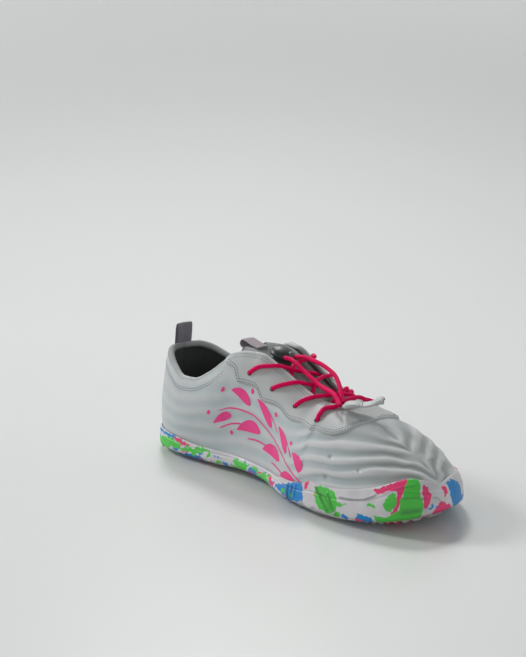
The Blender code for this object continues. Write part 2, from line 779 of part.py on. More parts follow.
def sole_profile(side, bases):
    """Rows of points round the sole's section: from the middle of its underside out, up
    its side, over the rim, down the upper's seat and back over its floor to the middle."""
    edge, out = outline(side, bases)
    flat = np.concatenate([out, np.zeros((len(bases), 1))], axis=1)
    under = ground(edge[:, 0]) + LUG_HEIGHT
    height = table(SOLE_SIDE, 1 if side < 0 else 2, bases) * SOLE_SIDE_HEIGHT
    seat_top = rib_share_at(side, bases, height)

    def at(inset, z):
        return np.concatenate([edge - out * inset, z[:, None]], axis=1)

    def on_floor(plan, floor):
        return np.concatenate([plan, floor(plan[:, 0])[:, None]], axis=1)

    def underside(x):
        return ground(x) + LUG_HEIGHT

    def outer(level, sink=0.0):
        wall = SOLE_WALL - SEAT_GAP + (SOLE_RIM - SOLE_WALL + SEAT_GAP) * level
        return offset_surface(side, bases, seat_top * level, SEAT_GAP + wall - sink)

    turn = SOLE_EDGE_ROUND * SOLE_EDGE_TURN
    low_edge = edge - out * turn
    low_middle = (low_edge + outline(-side, bases, turn)[0]) / 2
    levels = np.arange(SEAT_ROWS, -1, -1) / RIB_STEPS
    seat = [offset_surface(side, bases, np.minimum(k, seat_top), SEAT_GAP) for k in levels]
    across = offset_surface(-side, bases, 0.0, SEAT_GAP)
    floor_middle = (seat[-1] + across)[:, :2] / 2
    rows = [
        on_floor(low_middle, underside),
        on_floor(low_edge, underside),
        *(at(SOLE_EDGE_ROUND * inset, under + SOLE_EDGE_ROUND * rise) for inset, rise in SOLE_EDGE),
        *(outer(level, SOLE_GROOVE_DEPTH * sink) for level, sink in SOLE_WALL_ROWS),
        seat[0] + flat * SOLE_RIM,
        *seat,
        on_floor(seat[-1][:, :2], bed),
        on_floor(floor_middle, bed),
    ]
    return np.stack(rows, axis=1)


def make_sole():
    bases = rib_bases()
    points, faces = [], []
    for side in (-1, 1):
        block = sole_profile(side, bases)
        start = len(points)
        points.extend(map(tuple, block.reshape(-1, 3)))
        faces.extend(grid_faces(*block.shape[:2], start))
    sole = mesh_from("sole", points, faces)
    combine(sole, make_lugs(), "UNION")
    return sole


def disc(x, y, radius, corners=14):
    angle = np.arange(corners) * 2 * math.pi / corners
    return np.stack([x + radius * np.cos(angle), y + radius * np.sin(angle)], axis=1)


def ring_piece(x, y, inner, outer, start, end, steps=4):
    """A stretch of a ring between two angles in degrees."""
    angle = np.radians(np.linspace(start, end, steps + 1))
    ring = np.stack([np.cos(angle), np.sin(angle)], axis=1)
    return np.concatenate([ring * outer, ring[::-1] * inner]) + np.array([x, y])


def ring_pieces(place, ring, width, turn):
    """All the pieces of a ring whose radii are shares of a width."""
    inner, outer, count, gap, steps = ring
    part = 360 / count
    return [
        ring_piece(*place, inner * width, outer * width, start + gap, start + part - gap, steps)
        for start in turn + part * np.arange(count)
    ]


def ladder_size():
    """Length and width of the bars in the waist's ladder."""
    return LADDER_LENGTH * SHOE_LENGTH, LADDER_WIDTH * HEEL_WIDTH


def bar(x, y, length, width, turn):
    """A straight bar about its middle, turned from the X axis by an angle in degrees."""
    a = math.radians(turn)
    along, across = np.array([math.cos(a), math.sin(a)]), np.array([-math.sin(a), math.cos(a)])
    signs = ((-1, -1), (1, -1), (1, 1), (-1, 1))
    return np.array([[x, y] + along * length / 2 * i + across * width / 2 * j for i, j in signs])


def tread_shapes():
    """Outlines of the main lugs, in plan."""
    shapes = []
    for (along, across), turn in PODS:
        place = (along * SHOE_LENGTH, across * BALL_WIDTH)
        shapes.append(disc(*place, POD_DISC * BALL_WIDTH))
        shapes += ring_pieces(place, POD_RING, BALL_WIDTH, turn)
    place = (HEEL_PLACE * SHOE_LENGTH, 0.0)
    shapes.append(disc(*place, HEEL_DISC * HEEL_WIDTH))
    for ring in HEEL_RINGS:
        shapes += ring_pieces(place, ring, HEEL_WIDTH, 0.0)
    for k in range(LADDER_COUNT):
        x = (LADDER_START + LADDER_STEP * k) * SHOE_LENGTH
        shapes.append(bar(x, LADDER_ACROSS * HEEL_WIDTH, *ladder_size(), 0.0))
    for i in range(STUD_ROWS):
        for j in range(STUD_ROWS):
            x = (STUD_START + STUD_STEP * i + STUD_SLANT * j) * SHOE_LENGTH
            y = (STUD_ACROSS + STUD_ACROSS_STEP * j) * HEEL_WIDTH
            shapes.append(disc(x, y, STUD_RADIUS * HEEL_WIDTH, 4))
    for k in range(DOT_COUNT):
        x = (DOT_START - DOT_STEP * k) * SHOE_LENGTH
        shapes.append(disc(x, (DOT_ACROSS + DOT_ACROSS_STEP * k) * BALL_WIDTH, DOT_RADIUS * BALL_WIDTH, 6))
    for along, across, step, length, width, turn in TOE_BARS:
        for k in (-1, 0, 1):
            x, y = (along + step * k) * SHOE_LENGTH, across * BALL_WIDTH
            shapes.append(bar(x, y, length * SHOE_LENGTH, width * BALL_WIDTH, turn))
    along, across, length, width, turn = OUTER_PAD
    x, y = along * SHOE_LENGTH, across * BALL_WIDTH
    shapes.append(bar(x, y, length * SHOE_LENGTH, width * BALL_WIDTH, turn))
    return shapes


def trimmed(shape):
    """Moves a lug's corners in where they would pass the edge of the sole's underside."""
    ring = np.concatenate([HALVES[-1][0], HALVES[1][0][::-1]])
    normal = np.concatenate([HALVES[-1][2], HALVES[1][2][::-1]])
    moved = []
    for p in shape:
        near = np.linalg.norm(ring - p, axis=1).argmin()
        inside = np.dot(ring[near] - p, normal[near])
        short = LUG_MARGIN - inside
        moved.append(p - normal[near] * short if short > 0 else p)
    return np.array(moved)


def make_lugs():
    """The main lugs as prisms whose faces follow the ground line."""
    points, faces = [], []
    for shape in tread_shapes():
        shape = trimmed(shape)
        low = ground(shape[:, 0])
        high = low + LUG_HEIGHT + LUG_SINK
        n, start = len(shape), len(points)
        points += [(x, y, z) for (x, y), z in zip(shape, low)]
        points += [(x, y, z) for (x, y), z in zip(shape, high)]
        faces.append(tuple(start + i for i in range(n)))
        faces.append(tuple(start + n + i for i in range(n)))
        for i in range(n):
            k = (i + 1) % n
            faces.append((start + i, start + k, start + n + k, start + n + i))
    return mesh_from("lugs", points, faces, smooth=False)


def make_insole():
    bases = rib_bases()
    inset = SOLE_WALL + UPPER_WALL + INSOLE_GAP
    points, faces = [], []
    for side in (-1, 1):
        edge, _ = outline(side, bases, inset)
        other, _ = outline(-side, bases, inset)
        middle = (edge + other) / 2
        rows = []
        for plan, lift in ((middle, 0.0), (edge, 0.0), (edge, 1.0), (middle, 1.0)):
            z = bed(plan[:, 0]) + SEAT_GAP + lift * INSOLE_THICKNESS
            rows.append(np.concatenate([plan, z[:, None]], axis=1))
        block = np.stack(rows, axis=1)
        start = len(points)
        points.extend(map(tuple, block.reshape(-1, 3)))
        faces.extend(grid_faces(*block.shape[:2], start))
    return mesh_from("insole", points, faces)


def tongue_grid():
    """Middle surface of the tongue, from its front row to its free top."""
    depth = -(UPPER_WALL + TONGUE_GAP + TONGUE_THICKNESS / 2)
    rows = []
    for base, edge, inner, sag in TONGUE_ROWS:
        shares = np.linspace(edge, inner, 3)
        left = offset_surface(-1, base, shares, depth)
        right = offset_surface(1, base, shares, depth)[::-1]
        across = np.linspace(0, 1, 7)[1:-1, None]
        bridge = left[-1] * (1 - across) + right[0] * across
        bridge[:, 2] -= (sag * TONGUE_SAG * 4 * across * (1 - across))[:, 0]
        rows.append(np.concatenate([left, bridge, right]))
    last = rows[-1]
    for back, up, width, curve in TONGUE_TOP:
        middle = last[len(last) // 2]
        row = last.copy()
        row[:, 1] = middle[1] + (row[:, 1] - middle[1]) * width
        row[:, 2] = middle[2] + (row[:, 2] - middle[2]) * curve
        rows.append(row + np.array([-back * TONGUE_REACH, 0.0, up * TONGUE_RISE]))
    return np.array(rows)


def make_tongue():
    return sheet("tongue", tongue_grid(), TONGUE_THICKNESS)


# The heel loop's legs lie within these bases and are as wide as asked at this share
LOOP_BASES = 0.06
LOOP_SHARE = 0.9
# Points round a loop's bend, and the bend's swell and roundness
LOOP_STEPS = 8
LOOP_BULGE = 0.9
LOOP_ROUND = 0.8


def loop_strip(legs_out, legs_in, tip):
    """Middle line of a webbing loop: out along one leg, round the tip and back."""
    out_end, in_end = legs_out[-1], legs_in[0]
    middle = (out_end + in_end) / 2
    reach = tip - middle
    across = (in_end - out_end) / 2
    t = math.pi * np.arange(1, LOOP_STEPS)[:, None] / LOOP_STEPS
    wide = 1.0 + LOOP_BULGE * np.sin(t) ** 2
    bend = middle - across * np.cos(t) * wide + reach * np.sin(t) ** LOOP_ROUND
    return np.concatenate([legs_out, bend, legs_in])


def make_heel_loop():
    """Webbing that is stitched outside the heel and inside the collar."""
    columns = []
    stand = SEAT_GAP + LOOP_THICKNESS / 2
    shares = np.linspace(1 - LOOP_LAP / HEEL_HEIGHT, 1.0, 3)
    for across in np.linspace(-0.5, 0.5, 5):
        side = -1 if across < 0 else 1
        bases = np.linspace(0, LOOP_BASES, 61)
        reach = side * (surface(side, bases, LOOP_SHARE)[:, 1] - centre(0.0))
        base = np.interp(abs(across) * LOOP_WIDTH, reach, bases)
        out_leg = offset_surface(side, base, shares, stand)
        in_leg = offset_surface(side, base, shares[::-1], -UPPER_WALL - stand)
        tip = (out_leg[-1] + in_leg[0]) / 2 + np.array([LOOP_LEAN, 0.0, LOOP_RISE])
        columns.append(loop_strip(out_leg, in_leg, tip))
    return sheet("heel_loop", np.array(columns), LOOP_THICKNESS)


def make_tongue_loop():
    """A short webbing loop that laps the tongue's top edge on both faces."""
    grid = tongue_grid()
    columns = []
    stand = TONGUE_THICKNESS / 2 + LOOP_GAP + LOOP_THICKNESS / 2
    middle = grid.shape[1] // 2
    back, front = grid[-1, middle], grid[-2, middle]
    along = unit(front - back)
    upward = unit(np.cross(along, np.array([0.0, 1.0, 0.0])))
    upward *= np.sign(upward[2])
    for across in np.linspace(-0.5, 0.5, 3):
        shift = np.array([0.0, across * TONGUE_LOOP_WIDTH, 0.0])
        steps = np.linspace(TONGUE_LOOP_LAP, 0.0, 3)
        top_leg = np.array([back + along * k + upward * stand + shift for k in steps])
        low_leg = np.array([back + along * k - upward * stand + shift for k in steps[::-1]])
        tip = back - along * TONGUE_LOOP_REACH + shift
        columns.append(loop_strip(top_leg, low_leg, tip))
    return sheet("tongue_loop", np.array(columns), LOOP_THICKNESS)


def lace_over(side, base, share):
    """A point of the lace's centre line where it lies on the overlay."""
    lift = SEAT_GAP + OVERLAY_THICKNESS + LACE_CLEARANCE + LACE_DIAMETER / 2
    return offset_surface(side, base, share, lift)


def lace_strand(side, row):
    """A strand from an eyelet over its flap, then across the throat to the next row."""
    base, share = EYELETS[row]
    reach = EYELETS[row + 1][0] - base
    stand = SEAT_GAP + OVERLAY_THICKNESS + LACE_CLEARANCE + LACE_DIAMETER / 2
    on_flap = [
        lace_over(side, base + reach * LACE_LEAVE * k, share + (LACE_TOP_SHARE - share) * k)
        for k in (0.0, 0.5, 1.0)
    ]
    over_edge = top_point(side, base + reach * LACE_EDGE)
    over_edge = over_edge + np.array([0.0, -side * LACE_CLEARANCE, stand])
    edge_in = top_point(-side, base + reach * LACE_REACH)
    middle = (top_point(side, base + reach * LACE_MIDDLE) + edge_in) / 2
    middle[2] += (LACE_SAG[row] - side * LACE_CROSS_LIFT) * LACE_DIAMETER
    stop = edge_in + np.array([0.0, side * LACE_OVERLAP, LACE_CLEARANCE])
    return smooth_path(on_flap + [over_edge, middle, stop], 2)


def lace_bar():
    """The strand between the front eyelets."""
    base, share = EYELETS[-1]
    rise = (LACE_TOP_SHARE - share) / 2
    near = [lace_over(-1, base - LACE_BAR_STEP * k, share + rise * k) for k in (0, 1, 2)]
    far = [lace_over(1, base - LACE_BAR_STEP * k, share + rise * k) for k in (2, 1, 0)]
    middle = (near[-1] + far[0]) / 2 + np.array([0.0, 0.0, LACE_CLEARANCE])
    return smooth_path(near + [middle] + far, 2)


def make_crossing(row):
    """The two strands that cross between one row of eyelets and the next."""
    name = f"lace_crossing_{row + 1}"
    crossing = tubes(name, [lace_strand(-1, row)], LACE_DIAMETER / 2, LACE_SIDES)
    combine(crossing, tubes("other_strand", [lace_strand(1, row)], LACE_DIAMETER / 2, LACE_SIDES), "UNION")
    return crossing


def make_cord(name, route):
    """One free end of the lace, as a round cord."""
    line = bpy.data.curves.new(name, "CURVE")
    line.dimensions = "3D"
    line.bevel_depth = LACE_DIAMETER / 2
    line.bevel_resolution = 2
    line.use_fill_caps = True
    spline = line.splines.new("POLY")
    points = smooth_path(route, 2)
    spline.points.add(len(points) - 1)
    for made, place in zip(spline.points, points):
        made.co = (*place, 1.0)
    return new_object(name, line)


def make_cord_lock():
    """A pebble-shaped spring lock, lying on the tongue where the free ends start."""
    points, faces = [], []
    rings, sides = CORD_LOCK_RINGS, CORD_LOCK_SIDES
    for i in range(rings + 1):
        level = math.sin(math.pi * (i / rings - 0.5))
        round_in = math.sqrt(max(0.0, 1 - abs(level) ** CORD_LOCK_FULLNESS))
        for j in range(sides):
            t = 2 * math.pi * j / sides
            points.append(
                (
                    math.cos(t) * round_in * CORD_LOCK_LENGTH / 2,
                    math.sin(t) * round_in * CORD_LOCK_WIDTH / 2,
                    level * CORD_LOCK_HEIGHT / 2,
                )
            )
    for i in range(rings):
        for j in range(sides):
            k = (j + 1) % sides
            faces.append((i * sides + j, i * sides + k, (i + 1) * sides + k, (i + 1) * sides + j))
    lock = mesh_from("cord_lock", points, faces)
    grid = tongue_grid()
    row = len(TONGUE_ROWS) - 1
    middle = grid.shape[1] // 2
    along = unit(grid[row - 1, middle] - grid[row + 1, middle])
    upward = unit(np.cross(np.array([0.0, -1.0, 0.0]), along))
    upward *= np.sign(upward[2])
    stand = TONGUE_THICKNESS / 2 + CORD_LOCK_GAP + CORD_LOCK_HEIGHT / 2
    seat = grid[row, middle] * (1 - CORD_LOCK_FORWARD) + grid[row - 1, middle] * CORD_LOCK_FORWARD
    lock.location = seat + upward * stand
    lock.rotation_euler = (0.0, math.atan2(upward[0], upward[2]), 0.0)
    return lock


def make_pull_tab():
    """The strip that is folded over the ends of the lace, rolled at its tip."""
    start, end = np.array(PULL_TAB_START), np.array(PULL_TAB_END)
    across = unit(np.cross(np.array([0.0, 0.0, 1.0]), end - start))
    reach = np.linspace(0, 1, 9)
    grid = [
        [start + (end - start) * k + across * PULL_TAB_WIDTH * w for w in (-0.5, -0.17, 0.17, 0.5)]
        for k in reach
    ]
    rolled = np.exp(-(((reach - PULL_TAB_ROLL_PLACE) / PULL_TAB_ROLL_SPREAD) ** 2))
    thickness = PULL_TAB_THICKNESS + (PULL_TAB_ROLL - PULL_TAB_THICKNESS) * rolled
    return sheet("pull_tab", grid, thickness[:, None])


def main():
    for thing in list(bpy.data.objects):
        bpy.data.objects.remove(thing)
    fabric = material("upper_fabric", (0.60, 0.64, 0.65), 0.75)
    overlay = material("overlay_film", (0.47, 0.48, 0.48), 0.50)
    lining = material("lining_mesh", (0.09, 0.09, 0.09), 0.90)
    footbed = material("insole_foam", (0.12, 0.12, 0.12), 0.90)
    rubber = material("sole_rubber", (0.62, 0.60, 0.61), 0.50)
    webbing = material("webbing", (0.14, 0.14, 0.15), 0.80)
    lace = material("lace_cord", (0.75, 0.01, 0.09), 0.60)
    lock_plastic = material("lock_plastic", (0.05, 0.05, 0.05), 0.40)
    tab_film = material("tab_film", (0.50, 0.50, 0.50), 0.50)

    upper = make_upper()
    eyestay = make_eyestay()
    combine(upper, eyelet_cutters(), "DIFFERENCE")
    combine(eyestay, eyelet_cutters(), "DIFFERENCE")
    made = (
        (make_sole(), rubber),
        (make_insole(), footbed),
        (upper, fabric),
        (eyestay, overlay),
        (make_tongue(), lining),
        (make_tongue_loop(), webbing),
        (make_heel_loop(), webbing),
        *((make_crossing(row), lace) for row in range(len(EYELETS) - 1)),
        (tubes("lace_bar", [lace_bar()], LACE_DIAMETER / 2, LACE_SIDES), lace),
        (make_cord("lace_end_low", LOW_END), lace),
        (make_cord("lace_end_high", HIGH_END), lace),
        (make_cord_lock(), lock_plastic),
        (make_pull_tab(), tab_film),
    )
    for thing, slot in made:
        thing.data.materials.clear()
        thing.data.materials.append(slot)
    solids = [thing for thing, _ in made if thing.type == "MESH" and thing.name != "pull_tab"]
    bpy.context.view_layer.update()
    corners = [thing.matrix_world @ Vector(c) for thing in solids for c in thing.bound_box]
    middle = [(max(c[k] for c in corners) + min(c[k] for c in corners)) / 2 for k in (0, 1)]
    for thing, _ in made:
        thing.location -= Vector((*middle, 0.0))


main()
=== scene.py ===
"""Looks of a left barefoot shoe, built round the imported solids: fabric upper with tonal
bands, scalloped eyestay, lacing with cord lock and pull tab, marbled rubber sole."""

import json
import math

import bmesh
import bpy
import numpy as np
from mathutils import Matrix, Vector

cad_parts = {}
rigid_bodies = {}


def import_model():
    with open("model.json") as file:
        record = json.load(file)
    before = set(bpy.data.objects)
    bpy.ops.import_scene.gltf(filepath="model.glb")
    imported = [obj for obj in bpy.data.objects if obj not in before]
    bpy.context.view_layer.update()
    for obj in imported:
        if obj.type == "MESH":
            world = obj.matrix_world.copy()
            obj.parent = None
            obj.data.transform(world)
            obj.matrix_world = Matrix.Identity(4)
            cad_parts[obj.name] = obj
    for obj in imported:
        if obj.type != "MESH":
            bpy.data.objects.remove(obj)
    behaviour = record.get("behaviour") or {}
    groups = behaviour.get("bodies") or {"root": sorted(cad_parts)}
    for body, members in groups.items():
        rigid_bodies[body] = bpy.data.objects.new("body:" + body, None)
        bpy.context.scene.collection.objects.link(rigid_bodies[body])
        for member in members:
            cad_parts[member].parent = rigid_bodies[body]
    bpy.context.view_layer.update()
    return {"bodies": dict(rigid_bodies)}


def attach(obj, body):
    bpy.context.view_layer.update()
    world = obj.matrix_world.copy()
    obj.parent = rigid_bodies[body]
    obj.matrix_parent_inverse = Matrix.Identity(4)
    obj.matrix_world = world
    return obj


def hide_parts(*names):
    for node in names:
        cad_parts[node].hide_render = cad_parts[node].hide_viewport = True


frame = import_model()

# The shoe's surfaces, as in the part: shoe axes from the back of the heel, then SHIFT
SHIFT = np.array([-0.131, -0.00085134, 0.0])
SHOE_LENGTH = 0.262
BALL_WIDTH = 0.099
HEEL_WIDTH = 0.067
HEEL_HEIGHT = 0.071
COLLAR_DIP_HEIGHT = 0.057
QUARTER_HEIGHT = 0.082
THROAT_FRONT_HEIGHT = 0.057
TOE_HEIGHT = 0.0385
TOE_SPRING = 0.009
HEEL_RISE = 0.0025
ARCH_RISE = 0.002
UPPER_WALL = 0.0022
OVERLAY_THICKNESS = 0.0010
TONGUE_THICKNESS = 0.0026
TONGUE_GAP = 0.0009
INSOLE_THICKNESS = 0.0040
INSOLE_GAP = 0.0012
SOLE_BASE = 0.0038
SOLE_WALL = 0.0036
SOLE_RIM = 0.0014
SOLE_EDGE_ROUND = 0.0045
LUG_HEIGHT = 0.0022
SEAT_GAP = 0.0003
FOOT_GAP = 0.0008
LACE_DIAMETER = 0.0030
EYELET_DIAMETER = 0.0042
CORD_LOCK_LENGTH = 0.017
CORD_LOCK_WIDTH = 0.016
CORD_LOCK_HEIGHT = 0.0105
PULL_TAB_WIDTH = 0.0120
LOOP_WIDTH = 0.0140
LOOP_RISE = 0.0150
LOOP_LAP = 0.0110
LOOP_THICKNESS = 0.0012
TONGUE_LOOP_WIDTH = 0.0100
TONGUE_LOOP_REACH = 0.0110
WIDTH_BLEND = (0.20, 0.62)
TOE_TIP_ROW = 17
PLAN_STEPS = 24
THROAT_FRONT_BASE = 0.650
POLE_BASE = 0.880
OUTLINE_LENGTH = 0.3056
OUTLINE_MM = OUTLINE_LENGTH * 1000

# Outline of the sole: share of the length, share of the width there
PLAN = (
    (0.000, 0.000), (0.010, -0.250), (0.040, -0.385), (0.090, -0.470), (0.155, -0.500),
    (0.230, -0.478), (0.333, -0.412), (0.430, -0.372), (0.506, -0.383), (0.560, -0.415),
    (0.625, -0.458), (0.715, -0.492), (0.800, -0.490), (0.870, -0.465), (0.930, -0.415),
    (0.972, -0.335), (0.994, -0.220), (1.000, -0.100), (0.992, 0.030), (0.968, 0.155),
    (0.927, 0.285), (0.875, 0.388), (0.810, 0.470), (0.720, 0.507), (0.633, 0.508),
    (0.540, 0.490), (0.444, 0.480), (0.340, 0.497), (0.247, 0.507), (0.160, 0.497),
    (0.085, 0.445), (0.035, 0.335), (0.008, 0.170),
)
# base, along, gap, height, level, lean, full
TOPLINE = (
    (0.000, 0.019, 0.000, 1.000, HEEL_HEIGHT, 10, 0.34),
    (0.045, 0.027, 0.111, 0.998, HEEL_HEIGHT, 10, 0.34),
    (0.090, 0.053, 0.200, 0.965, HEEL_HEIGHT, 11, 0.34),
    (0.140, 0.103, 0.263, 1.095, COLLAR_DIP_HEIGHT, 13, 0.34),
    (0.190, 0.160, 0.298, 1.000, COLLAR_DIP_HEIGHT, 16, 0.34),
    (0.235, 0.206, 0.303, 1.010, COLLAR_DIP_HEIGHT, 20, 0.34),
    (0.290, 0.267, 0.293, 1.135, COLLAR_DIP_HEIGHT, 27, 0.34),
    (0.330, 0.309, 0.266, 0.890, QUARTER_HEIGHT, 33, 0.34),
    (0.360, 0.340, 0.230, 0.972, QUARTER_HEIGHT, 37, 0.34),
    (0.395, 0.378, 0.196, 1.000, QUARTER_HEIGHT, 41, 0.35),
    (0.430, 0.418, 0.166, 0.998, QUARTER_HEIGHT, 45, 0.36),
    (0.470, 0.462, 0.147, 0.940, QUARTER_HEIGHT, 50, 0.38),
    (0.520, 0.519, 0.132, 0.848, QUARTER_HEIGHT, 56, 0.40),
    (0.570, 0.576, 0.116, 1.096, THROAT_FRONT_HEIGHT, 64, 0.42),
    (0.610, 0.622, 0.094, 1.026, THROAT_FRONT_HEIGHT, 74, 0.44),
    (0.635, 0.649, 0.058, 1.004, THROAT_FRONT_HEIGHT, 84, 0.45),
    (0.650, 0.664, 0.000, 1.000, THROAT_FRONT_HEIGHT, 90, 0.46),
    (0.700, 0.720, 0.000, 0.950, THROAT_FRONT_HEIGHT, 90, 0.47),
    (0.760, 0.786, 0.000, 1.300, TOE_HEIGHT, 90, 0.48),
    (0.820, 0.847, 0.000, 1.165, TOE_HEIGHT, 90, 0.48),
    (0.880, 0.905, 0.000, 1.000, TOE_HEIGHT, 90, 0.48),
    (1.000, 0.905, 0.000, 1.000, TOE_HEIGHT, 90, 0.48),
)
TOP_ROWS = tuple(
    (base, along * SHOE_LENGTH, gap * BALL_WIDTH, height * level, lean, full)
    for base, along, gap, height, level, lean, full in TOPLINE
)
# Share of the length, share of the ball's width
CENTRE_LINE = ((0.00, 0.000), (0.30, 0.005), (0.50, 0.000), (0.70, -0.030), (0.85, -0.065), (1.00, -0.095))
# base, flare on the medial and the lateral side in degrees, fullness
FOOTING = (
    (0.00, 14, 14, 0.34), (0.15, 9, 9, 0.34), (0.35, -10, -2, 0.34), (0.50, -12, -2, 0.36),
    (0.62, 4, 4, 0.38), (0.80, 8, 8, 0.40), (1.00, 10, 10, 0.42),
)
# base, height of the wall's top on the medial and the lateral side
SOLE_SIDE = (
    (0.000, 0.0170, 0.0170), (0.120, 0.0160, 0.0160), (0.200, 0.0142, 0.0145), (0.268, 0.0122, 0.0132),
    (0.370, 0.0128, 0.0132), (0.440, 0.0120, 0.0130), (0.540, 0.0122, 0.0135), (0.575, 0.0140, 0.0150),
    (0.613, 0.0150, 0.0160), (0.657, 0.0172, 0.0175), (0.685, 0.0203, 0.0190), (0.740, 0.0205, 0.0200),
    (0.797, 0.0228, 0.0222), (0.843, 0.0260, 0.0245), (0.878, 0.0296, 0.0262), (0.910, 0.0312, 0.0275),
    (0.945, 0.0300, 0.0282), (1.000, 0.0272, 0.0272),
)
# base, share
EYESTAY_EDGE = (
    (0.340, 0.970), (0.352, 0.900), (0.370, 0.840), (0.385, 0.715), (0.438, 0.695), (0.468, 0.625),
    (0.522, 0.680), (0.557, 0.655), (0.600, 0.690), (0.652, 0.600), (0.695, 0.635), (0.718, 0.730),
    (0.728, 0.890), (0.732, 1.000),
)
EYELETS = ((0.417, 0.810), (0.492, 0.795), (0.565, 0.810), (0.640, 0.720))
# base, share at the tongue's edge and where it leaves the flap, sag between the flaps
TONGUE_ROWS = (
    (0.720, 0.78, 0.90, 0.0000), (0.690, 0.78, 0.90, 0.0000), (0.660, 0.78, 0.91, 0.0000),
    (0.630, 0.79, 0.97, 0.0010), (0.600, 0.80, 1.00, 0.0025), (0.565, 0.80, 1.00, 0.0045),
    (0.530, 0.80, 1.00, 0.0062), (0.492, 0.80, 1.00, 0.0072), (0.455, 0.80, 1.00, 0.0070),
    (0.420, 0.80, 1.00, 0.0060),
)
# back, up, width, curve
TONGUE_TOP = ((0.008, 0.0030, 0.93, 0.80), (0.015, 0.0055, 0.84, 0.40), (0.021, 0.0070, 0.68, 0.20))
# The lace's free ends, from the cord lock to the pull tab
LOW_END = (
    (0.1185, -0.0040, 0.0790), (0.1245, -0.0043, 0.0788), (0.1305, -0.0048, 0.0770),
    (0.1373, -0.0050, 0.0735), (0.1444, -0.0055, 0.0705), (0.1513, -0.0062, 0.0678),
    (0.1578, -0.0075, 0.0664), (0.1650, -0.0092, 0.0658), (0.1715, -0.0112, 0.0650),
    (0.1770, -0.0136, 0.0626), (0.1809, -0.0157, 0.0608),
)
HIGH_END = (
    (0.1200, 0.0040, 0.0787), (0.1278, 0.0042, 0.0797), (0.1353, 0.0040, 0.0791),
    (0.1447, 0.0030, 0.0781), (0.1521, 0.0020, 0.0763), (0.1596, 0.0005, 0.0739),
    (0.1655, -0.0020, 0.0707), (0.1712, -0.0056, 0.0670), (0.1752, -0.0088, 0.0634),
    (0.1775, -0.0108, 0.0612),
)
PULL_TAB_START = (0.1815, -0.0125, 0.0606)
PULL_TAB_END = (0.2005, 0.0030, 0.0640)


def table(rows, column, at):
    """Reads a table's column on a smooth curve that never overshoots its rows."""
    x = np.array([row[0] for row in rows], float)
    y = np.array([row[column] for row in rows], float)
    step = np.diff(x)
    slope = np.diff(y) / step
    total = np.where(slope[1:] + slope[:-1] == 0, 1, slope[1:] + slope[:-1])
    inner = np.where(slope[1:] * slope[:-1] > 0, 2 * slope[1:] * slope[:-1] / total, 0.0)
    m = np.concatenate([[slope[0]], inner, [slope[-1]]])
    at = np.clip(np.asarray(at, float), x[0], x[-1])
    i = np.clip(np.searchsorted(x, at, side="right") - 1, 0, len(step) - 1)
    h = step[i]
    s = (at - x[i]) / h
    a = (1 + 2 * s) * (1 - s) ** 2
    b = s * (1 - s) ** 2
    c = s * s * (3 - 2 * s)
    d = s * s * (s - 1)
    return a * y[i] + b * h * m[i] + c * y[i + 1] + d * h * m[i + 1]


def unit(vectors):
    return vectors / np.maximum(np.linalg.norm(vectors, axis=-1, keepdims=True), 1e-12)


def run_length(path):
    """Length along a line up to each of its points."""
    return np.concatenate([[0], np.cumsum(np.linalg.norm(np.diff(path, axis=0), axis=1))])


def rows_length(grid):
    """The same for each row of a grid."""
    steps = np.linalg.norm(np.diff(grid, axis=1), axis=-1)
    return np.concatenate([np.zeros((len(grid), 1)), np.cumsum(steps, axis=1)], axis=1)


def ease(value):
    """From 0 to 1 on a soft curve."""
    value = np.clip(value, 0.0, 1.0)
    return value * value * (3 - 2 * value)


def catmull(p0, p1, p2, p3, t):
    return 0.5 * (
        2 * p1 + (p2 - p0) * t + (2 * p0 - 5 * p1 + 4 * p2 - p3) * t**2 + (3 * p1 - p0 - 3 * p2 + p3) * t**3
    )


def local_width(share):
    low, high = WIDTH_BLEND
    return HEEL_WIDTH + (BALL_WIDTH - HEEL_WIDTH) * ease((np.asarray(share) - low) / (high - low))


def plan_sides():
    ring = np.array([(a * SHOE_LENGTH, b * local_width(a)) for a, b in PLAN])
    t = np.linspace(0, 1, PLAN_STEPS, endpoint=False)[:, None]
    n = len(ring)
    curve = np.concatenate([catmull(*(ring[(i + k) % n] for k in (-1, 0, 1, 2)), t) for i in range(n)])
    tip = TOE_TIP_ROW * PLAN_STEPS
    ahead = np.roll(curve, -1, axis=0) - np.roll(curve, 1, axis=0)
    normal = unit(np.stack([ahead[:, 1], -ahead[:, 0]], axis=1))
    halves = {}
    order = {-1: np.arange(0, tip + 1), 1: np.concatenate([[0], np.arange(len(curve) - 1, tip - 1, -1)])}
    for side, index in order.items():
        line = curve[index]
        length = run_length(line)
        halves[side] = (line, length / length[-1], normal[index])
    return halves


HALVES = plan_sides()


def outline(side, base, inset=0.0):
    """Places on the sole's outline, or inside it, and their outward directions."""
    line, share, normal = HALVES[side]
    base = np.asarray(base, float)
    p = np.stack([np.interp(base, share, line[:, k]) for k in (0, 1)], axis=-1)
    n = unit(np.stack([np.interp(base, share, normal[:, k]) for k in (0, 1)], axis=-1))
    return p - n * np.asarray(inset, float)[..., None], n


def ground(x):
    """Height of the tread's faces over the floor along the shoe."""
    share = np.asarray(x, float) / SHOE_LENGTH
    heel = HEEL_RISE * ease((0.07 - share) / 0.07)
    toe = TOE_SPRING * np.clip((share - 0.76) / 0.24, 0, 1) ** 1.8
    arch = ARCH_RISE * ease((share - 0.27) / 0.12) * ease((0.60 - share) / 0.12)
    return heel + toe + arch


def bed(x):
    """Height of the sole's inner floor."""
    return ground(x) + LUG_HEIGHT + SOLE_BASE


def centre(x):
    return table(CENTRE_LINE, 1, np.asarray(x, float) / SHOE_LENGTH) * BALL_WIDTH


